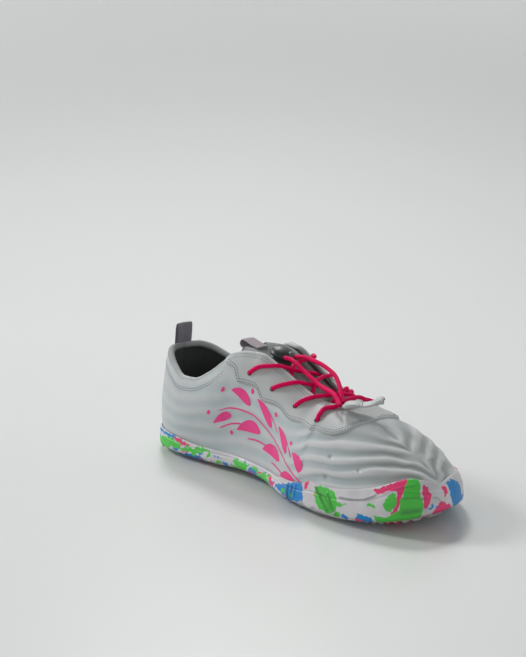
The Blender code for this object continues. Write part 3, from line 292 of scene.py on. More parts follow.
def top_point(side, base):
    x = table(TOP_ROWS, 1, base)
    return np.stack([x, centre(x) + side * table(TOP_ROWS, 2, base), table(TOP_ROWS, 3, base)], axis=-1)


def rib_handles(side, base):
    """The four points of each rib's curve, from the foot to the top line."""
    base = np.asarray(base, float)
    foot_xy, out = outline(side, base, SOLE_WALL)
    foot = np.concatenate([foot_xy, (bed(foot_xy[..., 0]) + FOOT_GAP)[..., None]], axis=-1)
    top = top_point(side, base)
    chord = np.linalg.norm(top - foot, axis=-1)[..., None]
    flare = np.radians(table(FOOTING, 1 if side < 0 else 2, base))
    rise = np.concatenate([out * np.sin(flare)[..., None], np.cos(flare)[..., None]], axis=-1)
    lean = np.radians(table(TOP_ROWS, 4, base))
    step = 0.004
    near = np.minimum(base, POLE_BASE)
    along = top_point(side, near + step) - top_point(side, near - step)
    ridge = unit(top_point(side, POLE_BASE) - top_point(side, POLE_BASE - 2 * step))
    flat = np.stack([along[..., 1], -along[..., 0]], axis=-1) * -side
    flat /= np.maximum(np.linalg.norm(flat, axis=-1), 1e-9)[..., None]
    blend = ease(base / 0.05)[..., None]
    flat = flat * blend + out * (1 - blend)
    settle = ease((base - 0.30) / 0.10)[..., None]
    flat = out * (1 - settle) + flat * settle
    settle = ease((base - 0.46) / 0.16)[..., None]
    flat = unit(flat * (1 - settle) + np.array([0.0, float(side)]) * settle)
    down = np.concatenate([flat * np.sin(lean)[..., None], -np.cos(lean)[..., None]], axis=-1)
    turn = ease((base - POLE_BASE + 0.04) / (1.04 - POLE_BASE))[..., None] * (math.pi / 2)
    fan = np.array([0.0, float(side), 0.0]) * np.cos(turn) + ridge * np.sin(turn)
    at_pole = ease((base - POLE_BASE + 0.08) / 0.08)[..., None]
    down = unit(down * (1 - at_pole) + fan * at_pole)
    full_low = table(FOOTING, 3, base)[..., None]
    full_top = table(TOP_ROWS, 5, base)[..., None]
    return foot, foot + rise * chord * full_low, top + down * chord * full_top, top


def one_shape(base, share):
    return np.broadcast_arrays(np.asarray(base, float), np.asarray(share, float))


def surface(side, base, share):
    """Points of the upper's outer surface: base round the outline, share up the rib."""
    base, share = one_shape(base, share)
    p0, p1, p2, p3 = rib_handles(side, base)
    t = share[..., None]
    return (1 - t) ** 3 * p0 + 3 * t * (1 - t) ** 2 * p1 + 3 * t * t * (1 - t) * p2 + t**3 * p3


def surface_normal(side, base, share):
    """Outward normals there, level across the middle of the heel."""
    base, share = one_shape(base, share)
    e = 0.004
    share = np.clip(share, e, 0.97)
    lo, hi = np.clip(base - e, 0, 1), np.clip(base + e, 0, 1)
    du = surface(side, hi, share) - surface(side, lo, share)
    dt = surface(side, base, share + e) - surface(side, base, share - e)
    n = unit(np.cross(du, dt) * -side)
    n[..., 1] = np.where(base < e, 0.0, n[..., 1])
    return unit(n)


def offset_surface(side, base, share, offset):
    """The same at a height over the surface. Both sides share their normals on the ridge."""
    base, share = one_shape(base, share)
    offset = np.broadcast_to(np.asarray(offset, float), base.shape)
    n = surface_normal(side, base, share)
    shared = ((share > 1 - 1e-9) & (base >= THROAT_FRONT_BASE - 1e-9)) | (base > 1 - 1e-9) | (base < 1e-9)
    n = np.where(shared[..., None], unit(n + surface_normal(-side, base, share)), n)
    return surface(side, base, share) + n * offset[..., None]


def rib_share_at(side, base, height):
    """Share up each rib where it reaches a height."""
    shares = np.linspace(0, 1, 61)
    base = np.asarray(base, float)
    z = surface(side, base[:, None], shares[None, :])[..., 2]
    return np.array([np.interp(h, row, shares) for h, row in zip(np.broadcast_to(height, base.shape), z)])


def smooth_path(points, steps):
    points = np.asarray(points, float)
    padded = np.concatenate([[2 * points[0] - points[1]], points, [2 * points[-1] - points[-2]]])
    t = (np.arange(steps) / steps)[:, None]
    spans = [catmull(*padded[i : i + 4], t) for i in range(len(points) - 1)]
    return np.concatenate([*spans, points[-1:]])


def resample(path, step):
    """The same line with points an even step apart."""
    path = np.asarray(path, float)
    length = run_length(path)
    at = np.linspace(0, length[-1], max(2, int(round(length[-1] / step)) + 1))
    return np.stack([np.interp(at, length, path[:, k]) for k in range(path.shape[1])], axis=1)


# Building pieces

def new_piece(name, points, faces, material, uv, fields, merge=0.0):
    """A mesh piece that rides on the shoe. uv and fields are one value for each point."""
    mesh = bpy.data.meshes.new(name)
    points = np.asarray(points, float) + SHIFT
    mesh.from_pydata(points.tolist(), [], [list(map(int, f)) for f in faces])
    if uv is not None:
        layer = mesh.uv_layers.new(name="UVMap")
        index = np.empty(len(mesh.loops), np.int32)
        mesh.loops.foreach_get("vertex_index", index)
        layer.data.foreach_set("uv", np.asarray(uv, np.float32)[index].ravel())
    for key, values in fields.items():
        made = mesh.attributes.new(key, "FLOAT", "POINT")
        made.data.foreach_set("value", np.asarray(values, np.float32).ravel())
    if merge:
        bm = bmesh.new()
        bm.from_mesh(mesh)
        bmesh.ops.remove_doubles(bm, verts=bm.verts, dist=merge)
        bm.to_mesh(mesh)
        bm.free()
    mesh.shade_smooth()
    mesh.materials.append(material)
    thing = bpy.data.objects.new(name, mesh)
    bpy.context.scene.collection.objects.link(thing)
    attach(thing, BODY)
    return thing


def grid_faces(rows, columns, flip=False):
    i, j = np.meshgrid(np.arange(rows - 1), np.arange(columns - 1), indexing="ij")
    a = i * columns + j
    faces = np.stack([a, a + 1, a + 1 + columns, a + columns], axis=-1).reshape(-1, 4)
    return faces[:, ::-1] if flip else faces


class Parts:
    """Collects several grids of points into one piece."""

    def __init__(self):
        self.points, self.faces, self.uv, self.fields, self.count = [], [], [], {}, 0

    def add_grid(self, block, uv=None, flip=False, **fields):
        points = np.asarray(block, float).reshape(-1, 3)
        self.points.append(points)
        self.faces.extend(grid_faces(*block.shape[:2], flip) + self.count)
        self.uv.append(np.zeros((len(points), 2)) if uv is None else np.asarray(uv, float).reshape(-1, 2))
        for key, values in fields.items():
            self.fields.setdefault(key, []).append(np.asarray(values, float).ravel())
        self.count += len(points)

    def piece(self, name, material, slot=None, merge=0.0):
        fields = {key: np.concatenate(v) for key, v in self.fields.items()}
        points, uv = np.concatenate(self.points), np.concatenate(self.uv)
        return new_piece(name, points, self.faces, material, uv, fields, merge)


def tube(parts, path, radius, sides=12, caps=True):
    """Adds a round tube along a path to parts, with u along it in metres and v round it."""
    path = np.asarray(path, float)
    radius = np.broadcast_to(radius, len(path))
    ahead = unit(np.gradient(path, axis=0))
    across = unit(np.cross(ahead[0], [0.0, 0.0, 1.0]))
    frames = []
    for a in ahead:
        across = unit(across - a * np.dot(across, a))
        frames.append((across, np.cross(across, a)))
    angle = np.linspace(0, 2 * math.pi, sides + 1)
    rows = []
    for p, r, (s, t) in zip(path, radius, frames):
        rows.append(p + r * (np.cos(angle)[:, None] * s + np.sin(angle)[:, None] * t))
    length = run_length(path)
    uv = np.stack(np.broadcast_arrays(length[:, None], (angle / (2 * math.pi))[None, :]), axis=-1)
    parts.add_grid(np.array(rows), uv)
    if caps:
        for end, way in ((0, -1.0), (-1, 1.0)):
            rings = [rows[end]]
            for k in (0.35, 0.7, 0.9, 1.0):
                inset = math.sqrt(max(0.0, 1 - k * k))
                middle = path[end] + ahead[end] * way * radius[end] * k * 0.6
                rings.append(middle + (rows[end] - path[end]) * max(inset, 0.01))
            parts.add_grid(np.array(rings), flip=way < 0)


BODY = sorted(frame["bodies"])[0]


# Materials

class Shade:
    """A material on the Principled shader, with short calls for its nodes."""

    def __init__(self, name, colour, roughness, **values):
        self.made = bpy.data.materials.new(name)
        self.made.use_nodes = True
        self.tree = self.made.node_tree
        self.shader = self.tree.nodes["Principled BSDF"]
        self.set("Base Color", (*colour, 1.0))
        self.set("Roughness", roughness)
        for key, value in values.items():
            self.set(key.replace("_", " "), value)

    def set(self, socket, value):
        if isinstance(value, bpy.types.NodeSocket):
            self.tree.links.new(value, self.shader.inputs[socket])
        else:
            self.shader.inputs[socket].default_value = value

    def feed(self, socket, value):
        """Links a socket, or sets it to a number or a colour."""
        if isinstance(value, bpy.types.NodeSocket):
            self.tree.links.new(value, socket)
            return
        now = socket.default_value
        if hasattr(now, "__len__"):
            value = value if hasattr(value, "__len__") else (value,) * len(now)
            value = (*value, 1.0)[: len(now)]
        socket.default_value = value

    def node(self, kind, *values, **named):
        """A new node with its first sockets and its named ones fed."""
        made = self.tree.nodes.new("ShaderNode" + kind)
        for socket, value in zip(made.inputs, values):
            self.feed(socket, value)
        for name, value in named.items():
            self.feed(made.inputs[name], value)
        return made

    def field(self, name):
        node = self.node("Attribute")
        node.attribute_name = name
        return node.outputs["Fac"]

    def place(self, kind="Object"):
        return self.node("TexCoord").outputs[kind]

    def math(self, operation, *values):
        node = self.node("Math")
        node.operation = operation
        for socket, value in zip(node.inputs, values):
            self.feed(socket, value)
        return node.outputs[0]

    def times(self, a, b):
        return self.math("MULTIPLY", a, b)

    def plus(self, a, b):
        return self.math("ADD", a, b)

    def parts_of(self, vector):
        return self.node("SeparateXYZ", vector).outputs

    def noise(self, vector, scale, detail=3.0):
        return self.node("TexNoise", Vector=vector, Scale=scale, Detail=detail).outputs["Fac"]

    def voronoi(self, vector, scale):
        return self.node("TexVoronoi", Vector=vector, Scale=scale).outputs["Distance"]

    def mix(self, factor, a, b):
        node = self.node("Mix")
        node.data_type = "RGBA"
        for index, value in ((0, factor), (6, a), (7, b)):
            self.feed(node.inputs[index], value)
        return node.outputs[2]

    def span(self, value, low, high, out_low=0.0, out_high=1.0):
        return self.node("MapRange", value, low, high, out_low, out_high).outputs[0]

    def bump(self, height, distance, strength):
        """Sets the shader's normal from a height."""
        made = self.node("Bump", Strength=strength, Distance=distance, Height=height)
        self.set("Normal", made.outputs[0])


def tinted(colour, factor):
    return tuple(min(1.0, c * factor) for c in colour)


def wave(shade, value, length):
    """Sine of a coordinate with the given wave length, from 0 to 1."""
    turned = shade.math("SINE", shade.times(value, 2 * math.pi / length))
    return shade.math("MULTIPLY_ADD", turned, 0.5, 0.5)


def fabric_material():
    """Fine knit with tonal bands, lighter and warmer on the raised ones. Darker at the toe and the vamp's
    top: partly the knit's tone, partly painted shade.
    """
    s = Shade("knit_upper", (0.55, 0.58, 0.58), 0.72, Sheen_Weight=0.25, Sheen_Roughness=0.5)
    s.set("Specular IOR Level", 0.35)
    uv = s.parts_of(s.place("UV"))
    band = s.field("band")
    toe = s.field("toe")
    mottle = s.noise(s.place(), 160.0, 4.0)
    light = s.mix(mottle, (0.515, 0.515, 0.520), (0.570, 0.575, 0.580))
    dark = s.mix(mottle, (0.360, 0.420, 0.435), (0.410, 0.475, 0.490))
    colour = s.mix(s.span(band, -0.35, 0.55), dark, light)
    warm = s.span(s.noise(s.place(), 28.0, 2.0), 0.42, 0.66, 0.0, 0.35)
    colour = s.mix(warm, colour, (0.53, 0.50, 0.515))
    # Darker towards the toe and the vamp's top: partly the knit's own tone, partly painted shade where
    # these face away from the light.
    toe_tone_and_shade = s.times(toe, s.span(band, -0.4, 0.7, 0.95, 0.55))
    colour = s.mix(toe_tone_and_shade, colour, (0.300, 0.315, 0.305))
    # Painted shade in the bands' valleys at the toe.
    valley_shade = s.times(s.span(band, -0.80, -0.35, 0.55, 0.0), toe)
    colour = s.mix(valley_shade, colour, (0.150, 0.165, 0.165))
    ribs = s.times(wave(s, uv[0], 0.0011), wave(s, uv[1], 0.0009))
    s.set("Base Color", s.mix(s.times(ribs, 0.10), colour, (0.36, 0.39, 0.40)))
    fine = s.noise(s.place(), 900.0, 2.0)
    height = s.plus(s.plus(band, s.times(ribs, 0.16)), s.times(fine, 0.12))
    s.bump(s.plus(height, s.times(s.field("tuck"), -2.5)), 0.00040, 0.9)
    return s.made


def film_material():
    """Smooth matte overlay with a faint leather-like grain."""
    s = Shade("overlay_grey", (0.46, 0.475, 0.475), 0.50)
    s.set("Specular IOR Level", 0.40)
    patchy = s.noise(s.place(), 45.0, 3.0)
    s.set("Base Color", s.mix(patchy, (0.400, 0.412, 0.412), (0.445, 0.455, 0.455)))
    grain = s.voronoi(s.place(), 1500.0)
    soft = s.noise(s.place(), 220.0, 3.0)
    s.set("Roughness", s.span(soft, 0.3, 0.7, 0.42, 0.58))
    s.bump(s.plus(s.times(grain, 0.25), soft), 0.00010, 0.5)
    return s.made


def lining_material(name, dark, light, pitch):
    """Dark spacer mesh: small holes in a regular net, painted darker as painted shade inside them."""
    s = Shade(name, light, 0.88, Sheen_Weight=0.2)
    uv = s.parts_of(s.place("UV"))
    net = s.times(wave(s, uv[0], pitch), wave(s, uv[1], pitch * 0.8))
    holes = s.span(net, 0.35, 0.75)
    cloud = s.noise(s.place(), 90.0, 3.0)
    # The holes are painted darker: painted shade inside them.
    colour = s.mix(holes, light, dark)
    s.set("Base Color", s.mix(s.span(cloud, 0.3, 0.7, 0.0, 0.35), colour, dark))
    s.bump(s.times(holes, -1.0), 0.00030, 0.8)
    return s.made


def webbing_material(name, colour, shade_colour, pitch=0.0013):
    """Woven tape: diagonal ribs across the strip."""
    s = Shade(name, colour, 0.75, Sheen_Weight=0.15)
    uv = s.parts_of(s.place("UV"))
    one = wave(s, s.plus(uv[0], s.times(uv[1], 0.6)), pitch)
    two = wave(s, uv[1], pitch * 0.55)
    weave = s.times(one, two)
    s.set("Base Color", s.mix(weave, shade_colour, colour))
    s.bump(weave, 0.00022, 0.8)
    return s.made


def cord_material():
    """Braided elastic: two sets of strands wound in opposite ways, with painted shade between the strands.
    """
    s = Shade("cord_crimson", (0.72, 0.003, 0.075), 0.60)
    s.set("Specular IOR Level", 0.10)
    uv = s.parts_of(s.place("UV"))
    turn = s.times(uv[1], 4.0)
    left = s.math("FRACT", s.plus(s.times(uv[0], 520.0), turn))
    right = s.math("FRACT", s.math("SUBTRACT", s.times(uv[0], 520.0), turn))
    peak = s.times(s.math("PINGPONG", left, 0.5), s.math("PINGPONG", right, 0.5))
    weave = s.span(peak, 0.0, 0.16)
    # Darker red between the strands: painted shade in the braid's grooves.
    s.set("Base Color", s.mix(weave, (0.50, 0.000, 0.060), (1.00, 0.001, 0.140)))
    s.bump(weave, 0.00020, 0.7)
    return s.made


def plastic_material(name, colour, roughness, bump=0.00004):
    s = Shade(name, colour, roughness)
    grain = s.noise(s.place(), 1400.0, 2.0)
    patchy = s.noise(s.place(), 120.0, 2.0)
    s.set("Roughness", s.span(patchy, 0.3, 0.7, roughness - 0.08, roughness + 0.08))
    s.set("Base Color", s.mix(patchy, tinted(colour, 0.85), tinted(colour, 1.15)))
    s.bump(grain, bump, 0.6)
    return s.made


def print_material():
    """Printed ink with the knit showing through it."""
    s = Shade("print_pink", (0.80, 0.035, 0.24), 0.50)
    fine = s.noise(s.place(), 900.0, 2.0)
    broad = s.noise(s.place(), 70.0, 2.0)
    s.set("Base Color", s.mix(broad, (0.70, 0.022, 0.200), (0.82, 0.040, 0.250)))
    s.bump(fine, 0.00012, 0.6)
    return s.made


GREEN = (0.060, 0.480, 0.050)
PINK = (0.700, 0.035, 0.150)
BLUE = (0.004, 0.200, 0.520)
PALE = (0.600, 0.580, 0.600)


def rubber_material():
    """Marbled rubber. The fields green, pink and blue are the distances in mm into each
    colour's patches, so that their edges stay sharp at any distance."""
    s = Shade("marbled_rubber", PALE, 0.45)
    s.set("Specular IOR Level", 0.45)
    place = s.place()
    ragged = s.times(s.math("SUBTRACT", s.noise(place, 420.0, 3.0), 0.5), 1.5)
    chipped = s.times(s.math("SUBTRACT", s.voronoi(place, 330.0), 0.45), 1.8)
    ragged = s.plus(ragged, chipped)
    cloud = s.noise(place, 60.0, 3.0)
    colour = s.mix(s.span(cloud, 0.35, 0.65), (0.47, 0.46, 0.48), (0.60, 0.575, 0.595))
    for name, tint in (("blue", BLUE), ("pink", PINK), ("green", GREEN)):
        inside = s.span(s.plus(s.field(name), ragged), -0.10, 0.12)
        shaded = s.mix(cloud, tinted(tint, 0.82), tinted(tint, 1.2))
        colour = s.mix(inside, colour, shaded)
    # The field shade darkens the rubber with painted shade: in the wall's grooves and notches, between the
    # tread's lugs, and on the inner floor under the insole.
    s.set("Base Color", s.mix(s.field("shade"), colour, (0.04, 0.04, 0.045)))
    soft = s.noise(place, 260.0, 3.0)
    s.set("Roughness", s.span(soft, 0.3, 0.7, 0.38, 0.54))
    s.bump(s.noise(place, 1300.0, 2.0), 0.00005, 0.6)
    return s.made


KNIT = fabric_material()
FILM = film_material()
LINING = lining_material("lining_dark", (0.018, 0.019, 0.019), (0.055, 0.058, 0.058), 0.0016)
TONGUE_CLOTH = lining_material("tongue_mesh", (0.075, 0.078, 0.080), (0.26, 0.265, 0.265), 0.0013)
FOOTBED = lining_material("footbed_cloth", (0.020, 0.021, 0.022), (0.050, 0.052, 0.055), 0.0011)
WEBBING = webbing_material("heel_webbing", (0.310, 0.290, 0.330), (0.150, 0.140, 0.165))
LOOP_TAPE = webbing_material("loop_tape", (0.52, 0.44, 0.47), (0.26, 0.22, 0.25), 0.0010)
CORD = cord_material()
LOCK = plastic_material("lock_plastic_dark", (0.016, 0.017, 0.018), 0.42)
LOCK_RIM = plastic_material("lock_plastic_rim", (0.085, 0.088, 0.090), 0.40)
# Painted shade for the eyelets' holes: dark discs where the lace goes in.
HOLE_SHADE = plastic_material("painted_hole_shade", (0.010, 0.010, 0.011), 0.80)
THREAD = plastic_material("thread_grey", (0.090, 0.098, 0.102), 0.80)
PRINT = print_material()
RUBBER = rubber_material()
TAB = plastic_material("tab_grey", (0.40, 0.41, 0.41), 0.50)

# The camera stands where the photograph's stood
CAMERA_PLACE = (0.61814, -0.58163, 0.26797)
CAMERA_YAW = 0.84681
CAMERA_PITCH = 0.19577
CAMERA_ROLL = -0.00565
CAMERA_LENS = 73.7


def make_camera():
    camera = bpy.data.objects.new("camera", bpy.data.cameras.new("camera"))
    bpy.context.scene.collection.objects.link(camera)
    bpy.context.scene.camera = camera
    cp, sp = math.cos(CAMERA_PITCH), math.sin(CAMERA_PITCH)
    ahead = Vector((-math.sin(CAMERA_YAW) * cp, math.cos(CAMERA_YAW) * cp, -sp))
    right = Vector((math.cos(CAMERA_YAW), math.sin(CAMERA_YAW), 0.0))
    up = right.cross(ahead)
    c, s = math.cos(CAMERA_ROLL), math.sin(CAMERA_ROLL)
    right, up = c * right + s * up, -s * right + c * up
    matrix = Matrix((right, up, -ahead)).transposed().to_4x4()
    matrix.translation = Vector(CAMERA_PLACE)
    camera.matrix_world = matrix
    camera.data.sensor_width = 36
    camera.data.lens = CAMERA_LENS
    camera.data.clip_start = 0.01
    camera.data.clip_end = 20


make_camera()


# The lace's two free ends, from the cord lock to the pull tab

def make_free_end(name, route):
    """A free end of the lace: the piece and its centre line in world places."""
    line = smooth_path(route, 8)
    parts = Parts()
    tube(parts, line, LACE_DIAMETER * 0.48, 16, caps=True)
    piece = parts.piece(name, CORD, "lace_cord", merge=1e-7)
    return piece, line + SHIFT


# Share along the strip, half thickness, lift: the laces swell it at one end, its roll at the other
PULL_TAB_PROFILE = (
    (0.00, 0.0009, 0.0000), (0.06, 0.0014, 0.0002), (0.16, 0.0015, 0.0004), (0.30, 0.0012, 0.0003),
    (0.42, 0.0008, -0.0002), (0.55, 0.0007, -0.0004), (0.68, 0.0007, 0.0000), (0.76, 0.0009, 0.0005),
    (0.84, 0.0014, 0.0010), (0.92, 0.0016, 0.0012), (0.98, 0.0012, 0.0011), (1.00, 0.0007, 0.0010),
)
TAB_CURL = 0.0010


def make_pull_tab():
    """The strip folded over the lace's ends: two layers with a rolled tip, stitched across."""
    start, end = np.array(PULL_TAB_START), np.array(PULL_TAB_END)
    along = unit(end - start)
    across = unit(np.cross(np.array([0.0, 0.0, 1.0]), along))
    upward = np.cross(along, across)
    reach = float(np.linalg.norm(end - start))
    shares = np.linspace(0, 1, 49)
    half = table(PULL_TAB_PROFILE, 1, shares)
    lift = table(PULL_TAB_PROFILE, 2, shares)
    wide = np.linspace(-0.5, 0.5, 25)
    parts = Parts()
    for way in (1, -1):
        block = []
        for k, h, l in zip(shares, half, lift):
            edge = np.sqrt(np.clip(1 - (np.abs(wide) * 2) ** 6, 0, 1))
            curl = -TAB_CURL * (wide * 2) ** 2 * (0.4 + 0.6 * k)
            rows = start + along * reach * k + across * (wide * PULL_TAB_WIDTH)[:, None]
            block.append(rows + upward * (way * h * edge + l + curl)[:, None])
        block = np.array(block)
        uv = np.stack(np.broadcast_arrays(shares[:, None] * reach, wide[None, :] * PULL_TAB_WIDTH), axis=-1)
        parts.add_grid(block, uv, flip=way > 0)
    tab = parts.piece("pull_tab_strip", TAB, "tab_film", merge=1e-6)
    seams = Parts()
    for at in (0.40, 0.46):
        for k in np.linspace(-0.40, 0.40, 7):
            place = start + along * reach * at + across * k * PULL_TAB_WIDTH
            place = place + upward * (np.interp(at, shares, half) - 0.0003 - TAB_CURL * (2 * k) ** 2 * 0.6)
            line = [place - across * 0.0006, place, place + across * 0.0006]
            tube(seams, line, [0.00018, 0.00026, 0.00018], 6)
    stitch = seams.piece("pull_tab_stitches", THREAD)
    return tab, stitch


low_end, low_line = make_free_end("lace_end_low_cord", LOW_END)
high_end, high_line = make_free_end("lace_end_high_cord", HIGH_END)
pull_tab, tab_stitches = make_pull_tab()
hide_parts("lace_end_low")
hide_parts("lace_end_high")
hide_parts("pull_tab")


# Studio: pale floor that runs back into a pale backdrop, soft light from above

# Half the stage's width, its front, where the cove starts and its radius, its top
STAGE_HALF, STAGE_FRONT, COVE_START, COVE_RADIUS, STAGE_TOP = 4.0, -3.0, 0.5, 2.4, 5.0


def make_stage():
    shade = Shade("studio_floor", (0.80, 0.80, 0.79), 0.30)
    shade.set("Specular IOR Level", 0.45)
    cloud = shade.noise(shade.place(), 0.8, 2.0)
    floor = shade.mix(cloud, (0.62, 0.63, 0.62), (0.65, 0.655, 0.645))
    x, y, z = shade.parts_of(shade.place())
    even = shade.mix(shade.span(z, 0.0, 0.7), floor, (0.97, 0.975, 0.97))
    c, s = math.cos(CAMERA_YAW), math.sin(CAMERA_YAW)
    right = shade.plus(shade.times(x, c), shade.times(y, s))
    ahead = shade.math("SUBTRACT", shade.times(y, c), shade.times(x, s))
    # Painted shade on the far backdrop close to the key light, where the key's light falls strongest.
    painted_key_shade = shade.times(shade.span(right, -0.9, 0.7, 1.0, 0.0), shade.span(ahead, 0.1, 1.6))
    shade.set("Base Color", shade.mix(painted_key_shade, even, (0.62, 0.63, 0.62)))
    cove = [(STAGE_FRONT, 0.0), (COVE_START, 0.0)]
    for a in np.linspace(0.05, math.pi / 2, 40):
        cove.append((COVE_START + COVE_RADIUS * math.sin(a), COVE_RADIUS - COVE_RADIUS * math.cos(a)))
    cove.append((COVE_START + COVE_RADIUS, STAGE_TOP))
    rows = [[(x * c - y * s, x * s + y * c, z) for x in (-STAGE_HALF, STAGE_HALF)] for y, z in cove]
    mesh = bpy.data.meshes.new("studio")
    mesh.from_pydata(np.array(rows).reshape(-1, 3).tolist(), [], grid_faces(len(rows), 2).tolist())
    mesh.shade_smooth()
    mesh.materials.append(shade.made)
    studio = bpy.data.objects.new("studio", mesh)
    bpy.context.scene.collection.objects.link(studio)


def make_light(name, place, target, size, power, spread):
    light = bpy.data.lights.new(name, "AREA")
    light.shape = "DISK"
    light.size = size
    light.energy = power
    light.spread = math.radians(spread)
    thing = bpy.data.objects.new(name, light)
    bpy.context.scene.collection.objects.link(thing)
    thing.location = place
    thing.rotation_euler = (Vector(target) - Vector(place)).to_track_quat("-Z", "Y").to_euler()


# Direction's x or z from and to, then the light's share there
WORLD_ALONG = (-1.0, 0.3, 0.80, 1.0)
WORLD_UP = (0.0, 0.9, 1.07, 0.25)


def make_world():
    """Light from all round, weaker from behind the heel and from straight above."""
    world = bpy.data.worlds.new("studio_world")
    bpy.context.scene.world = world
    world.use_nodes = True
    tree = world.node_tree
    ahead = tree.nodes.new("ShaderNodeTexCoord").outputs["Generated"]
    split = tree.nodes.new("ShaderNodeSeparateXYZ")
    tree.links.new(ahead, split.inputs[0])
    ramps = []
    for axis, (low, high, out_low, out_high) in zip((0, 2), (WORLD_ALONG, WORLD_UP)):
        ramp = tree.nodes.new("ShaderNodeMapRange")
        tree.links.new(split.outputs[axis], ramp.inputs[0])
        for socket, value in zip(ramp.inputs[1:5], (low, high, out_low, out_high)):
            socket.default_value = value
        ramps.append(ramp.outputs[0])
    product = tree.nodes.new("ShaderNodeMath")
    product.operation = "MULTIPLY"
    for socket, ramp in zip(product.inputs, ramps):
        tree.links.new(ramp, socket)
    back = tree.nodes["Background"]
    back.inputs["Color"].default_value = (0.97, 1.0, 1.0, 1)
    tree.links.new(product.outputs[0], back.inputs["Strength"])


make_stage()
make_light("key", (-3.3, -1.5, 2.3), (0, 0, 0.03), 1.1, 92, 180)
make_light("back", (-1.35, 1.0, 1.85), (0.10, -0.05, 0.0), 0.55, 4.6, 75)
make_world()
bpy.context.scene.view_settings.view_transform = "Standard"

# Upper: places on it where its bands run. base, share, level; dark at whole levels
BAND_PLACES = (
    (0.732, 0.915, 3.5), (0.760, 0.985, 3.6), (0.680, 0.510, 2.5), (0.728, 0.600, 2.5),
    (0.792, 0.725, 2.5),
    (0.830, 0.830, 2.5), (0.852, 0.960, 2.5), (0.722, 0.405, 1.5), (0.770, 0.490, 1.5),
    (0.830, 0.640, 1.5),
    (0.865, 0.800, 1.5), (0.940, 0.870, 1.5), (1.000, 0.600, 1.5), (0.808, 0.425, 0.5),
    (0.840, 0.530, 0.5),
    (0.875, 0.645, 0.5), (0.922, 0.665, 0.5), (0.960, 0.540, 0.5), (1.000, 0.380, 0.5),
    (0.620, 0.520, 3.0),
    (0.675, 0.560, 3.0), (0.720, 0.670, 3.0), (0.778, 0.795, 3.0), (0.820, 0.900, 3.0),
    (0.850, 1.000, 3.0),
    (0.718, 0.490, 2.0), (0.765, 0.550, 2.0), (0.805, 0.650, 2.0), (0.852, 0.835, 2.0),
    (0.900, 0.960, 2.0),
    (0.798, 0.480, 1.0), (0.830, 0.570, 1.0), (0.860, 0.700, 1.0), (0.918, 0.765, 1.0),
    (0.978, 0.600, 1.0),
    (0.720, 0.255, 0.0), (0.785, 0.295, 0.0), (0.868, 0.450, 0.0), (0.898, 0.565, 0.0),
    (0.932, 0.590, 0.0),
    (0.968, 0.420, 0.0), (0.810, 1.000, 4.0), (1.000, 0.850, 2.2), (0.268, 0.840, 5.0),
    (0.322, 0.745, 5.0),
    (0.378, 0.660, 5.0), (0.215, 0.630, 4.0), (0.270, 0.630, 4.0), (0.335, 0.545, 4.0),
    (0.218, 0.445, 3.0),
    (0.268, 0.475, 3.0), (0.345, 0.420, 3.0), (0.420, 0.455, 3.2), (0.312, 0.300, 2.3),
    (0.388, 0.295, 2.3),
    (0.310, 0.180, 1.5), (0.388, 0.185, 1.5), (0.455, 0.260, 2.0), (0.455, 0.160, 1.2),
    (0.600, 0.400, 2.3),
    (0.560, 0.600, 4.0), (0.590, 0.180, 0.8), (0.100, 0.300, 2.2), (0.100, 0.700, 4.2),
    (0.000, 0.300, 2.2),
    (0.000, 0.700, 4.2), (0.200, 0.100, 1.0), (0.650, 0.150, 0.0), (0.500, 0.000, 0.0),
    (0.150, 1.000, 6.0),
)
# Small tucks where bands begin, base and share
TUCKS = ((0.720, 0.445), (0.798, 0.430), (0.722, 0.262))
BAND_RELIEF = 0.00032
TUCK_DEPTH = 0.0006
# The base's weight against the share's, and how loosely the surface follows its places
PLATE_STRETCH = 3.0
PLATE_EASE = 0.004


def plate_kernel(a, b):
    r = np.linalg.norm(a[:, None] - b[None], axis=-1)
    return np.where(r > 0, r * r * np.log(np.maximum(r, 1e-9)), 0.0)


def thin_plate(places):
    """Weights of the smooth surface through (base, share, level) places."""
    p = np.array(places, float)
    xy = p[:, :2] * np.array([PLATE_STRETCH, 1.0])
    kernel = plate_kernel(xy, xy) + np.eye(len(p)) * PLATE_EASE
    flat = np.concatenate([np.ones((len(p), 1)), xy], axis=1)
    full = np.block([[kernel, flat], [flat.T, np.zeros((3, 3))]])
    return xy, np.linalg.solve(full, np.concatenate([p[:, 2], np.zeros(3)]))


def level_at(base, share, plate):
    xy, weights = plate
    q = np.stack([base * PLATE_STRETCH, share], axis=-1).reshape(-1, 2)
    made = plate_kernel(q, xy) @ weights[:-3] + weights[-3] + q @ weights[-2:]
    return made.reshape(base.shape)




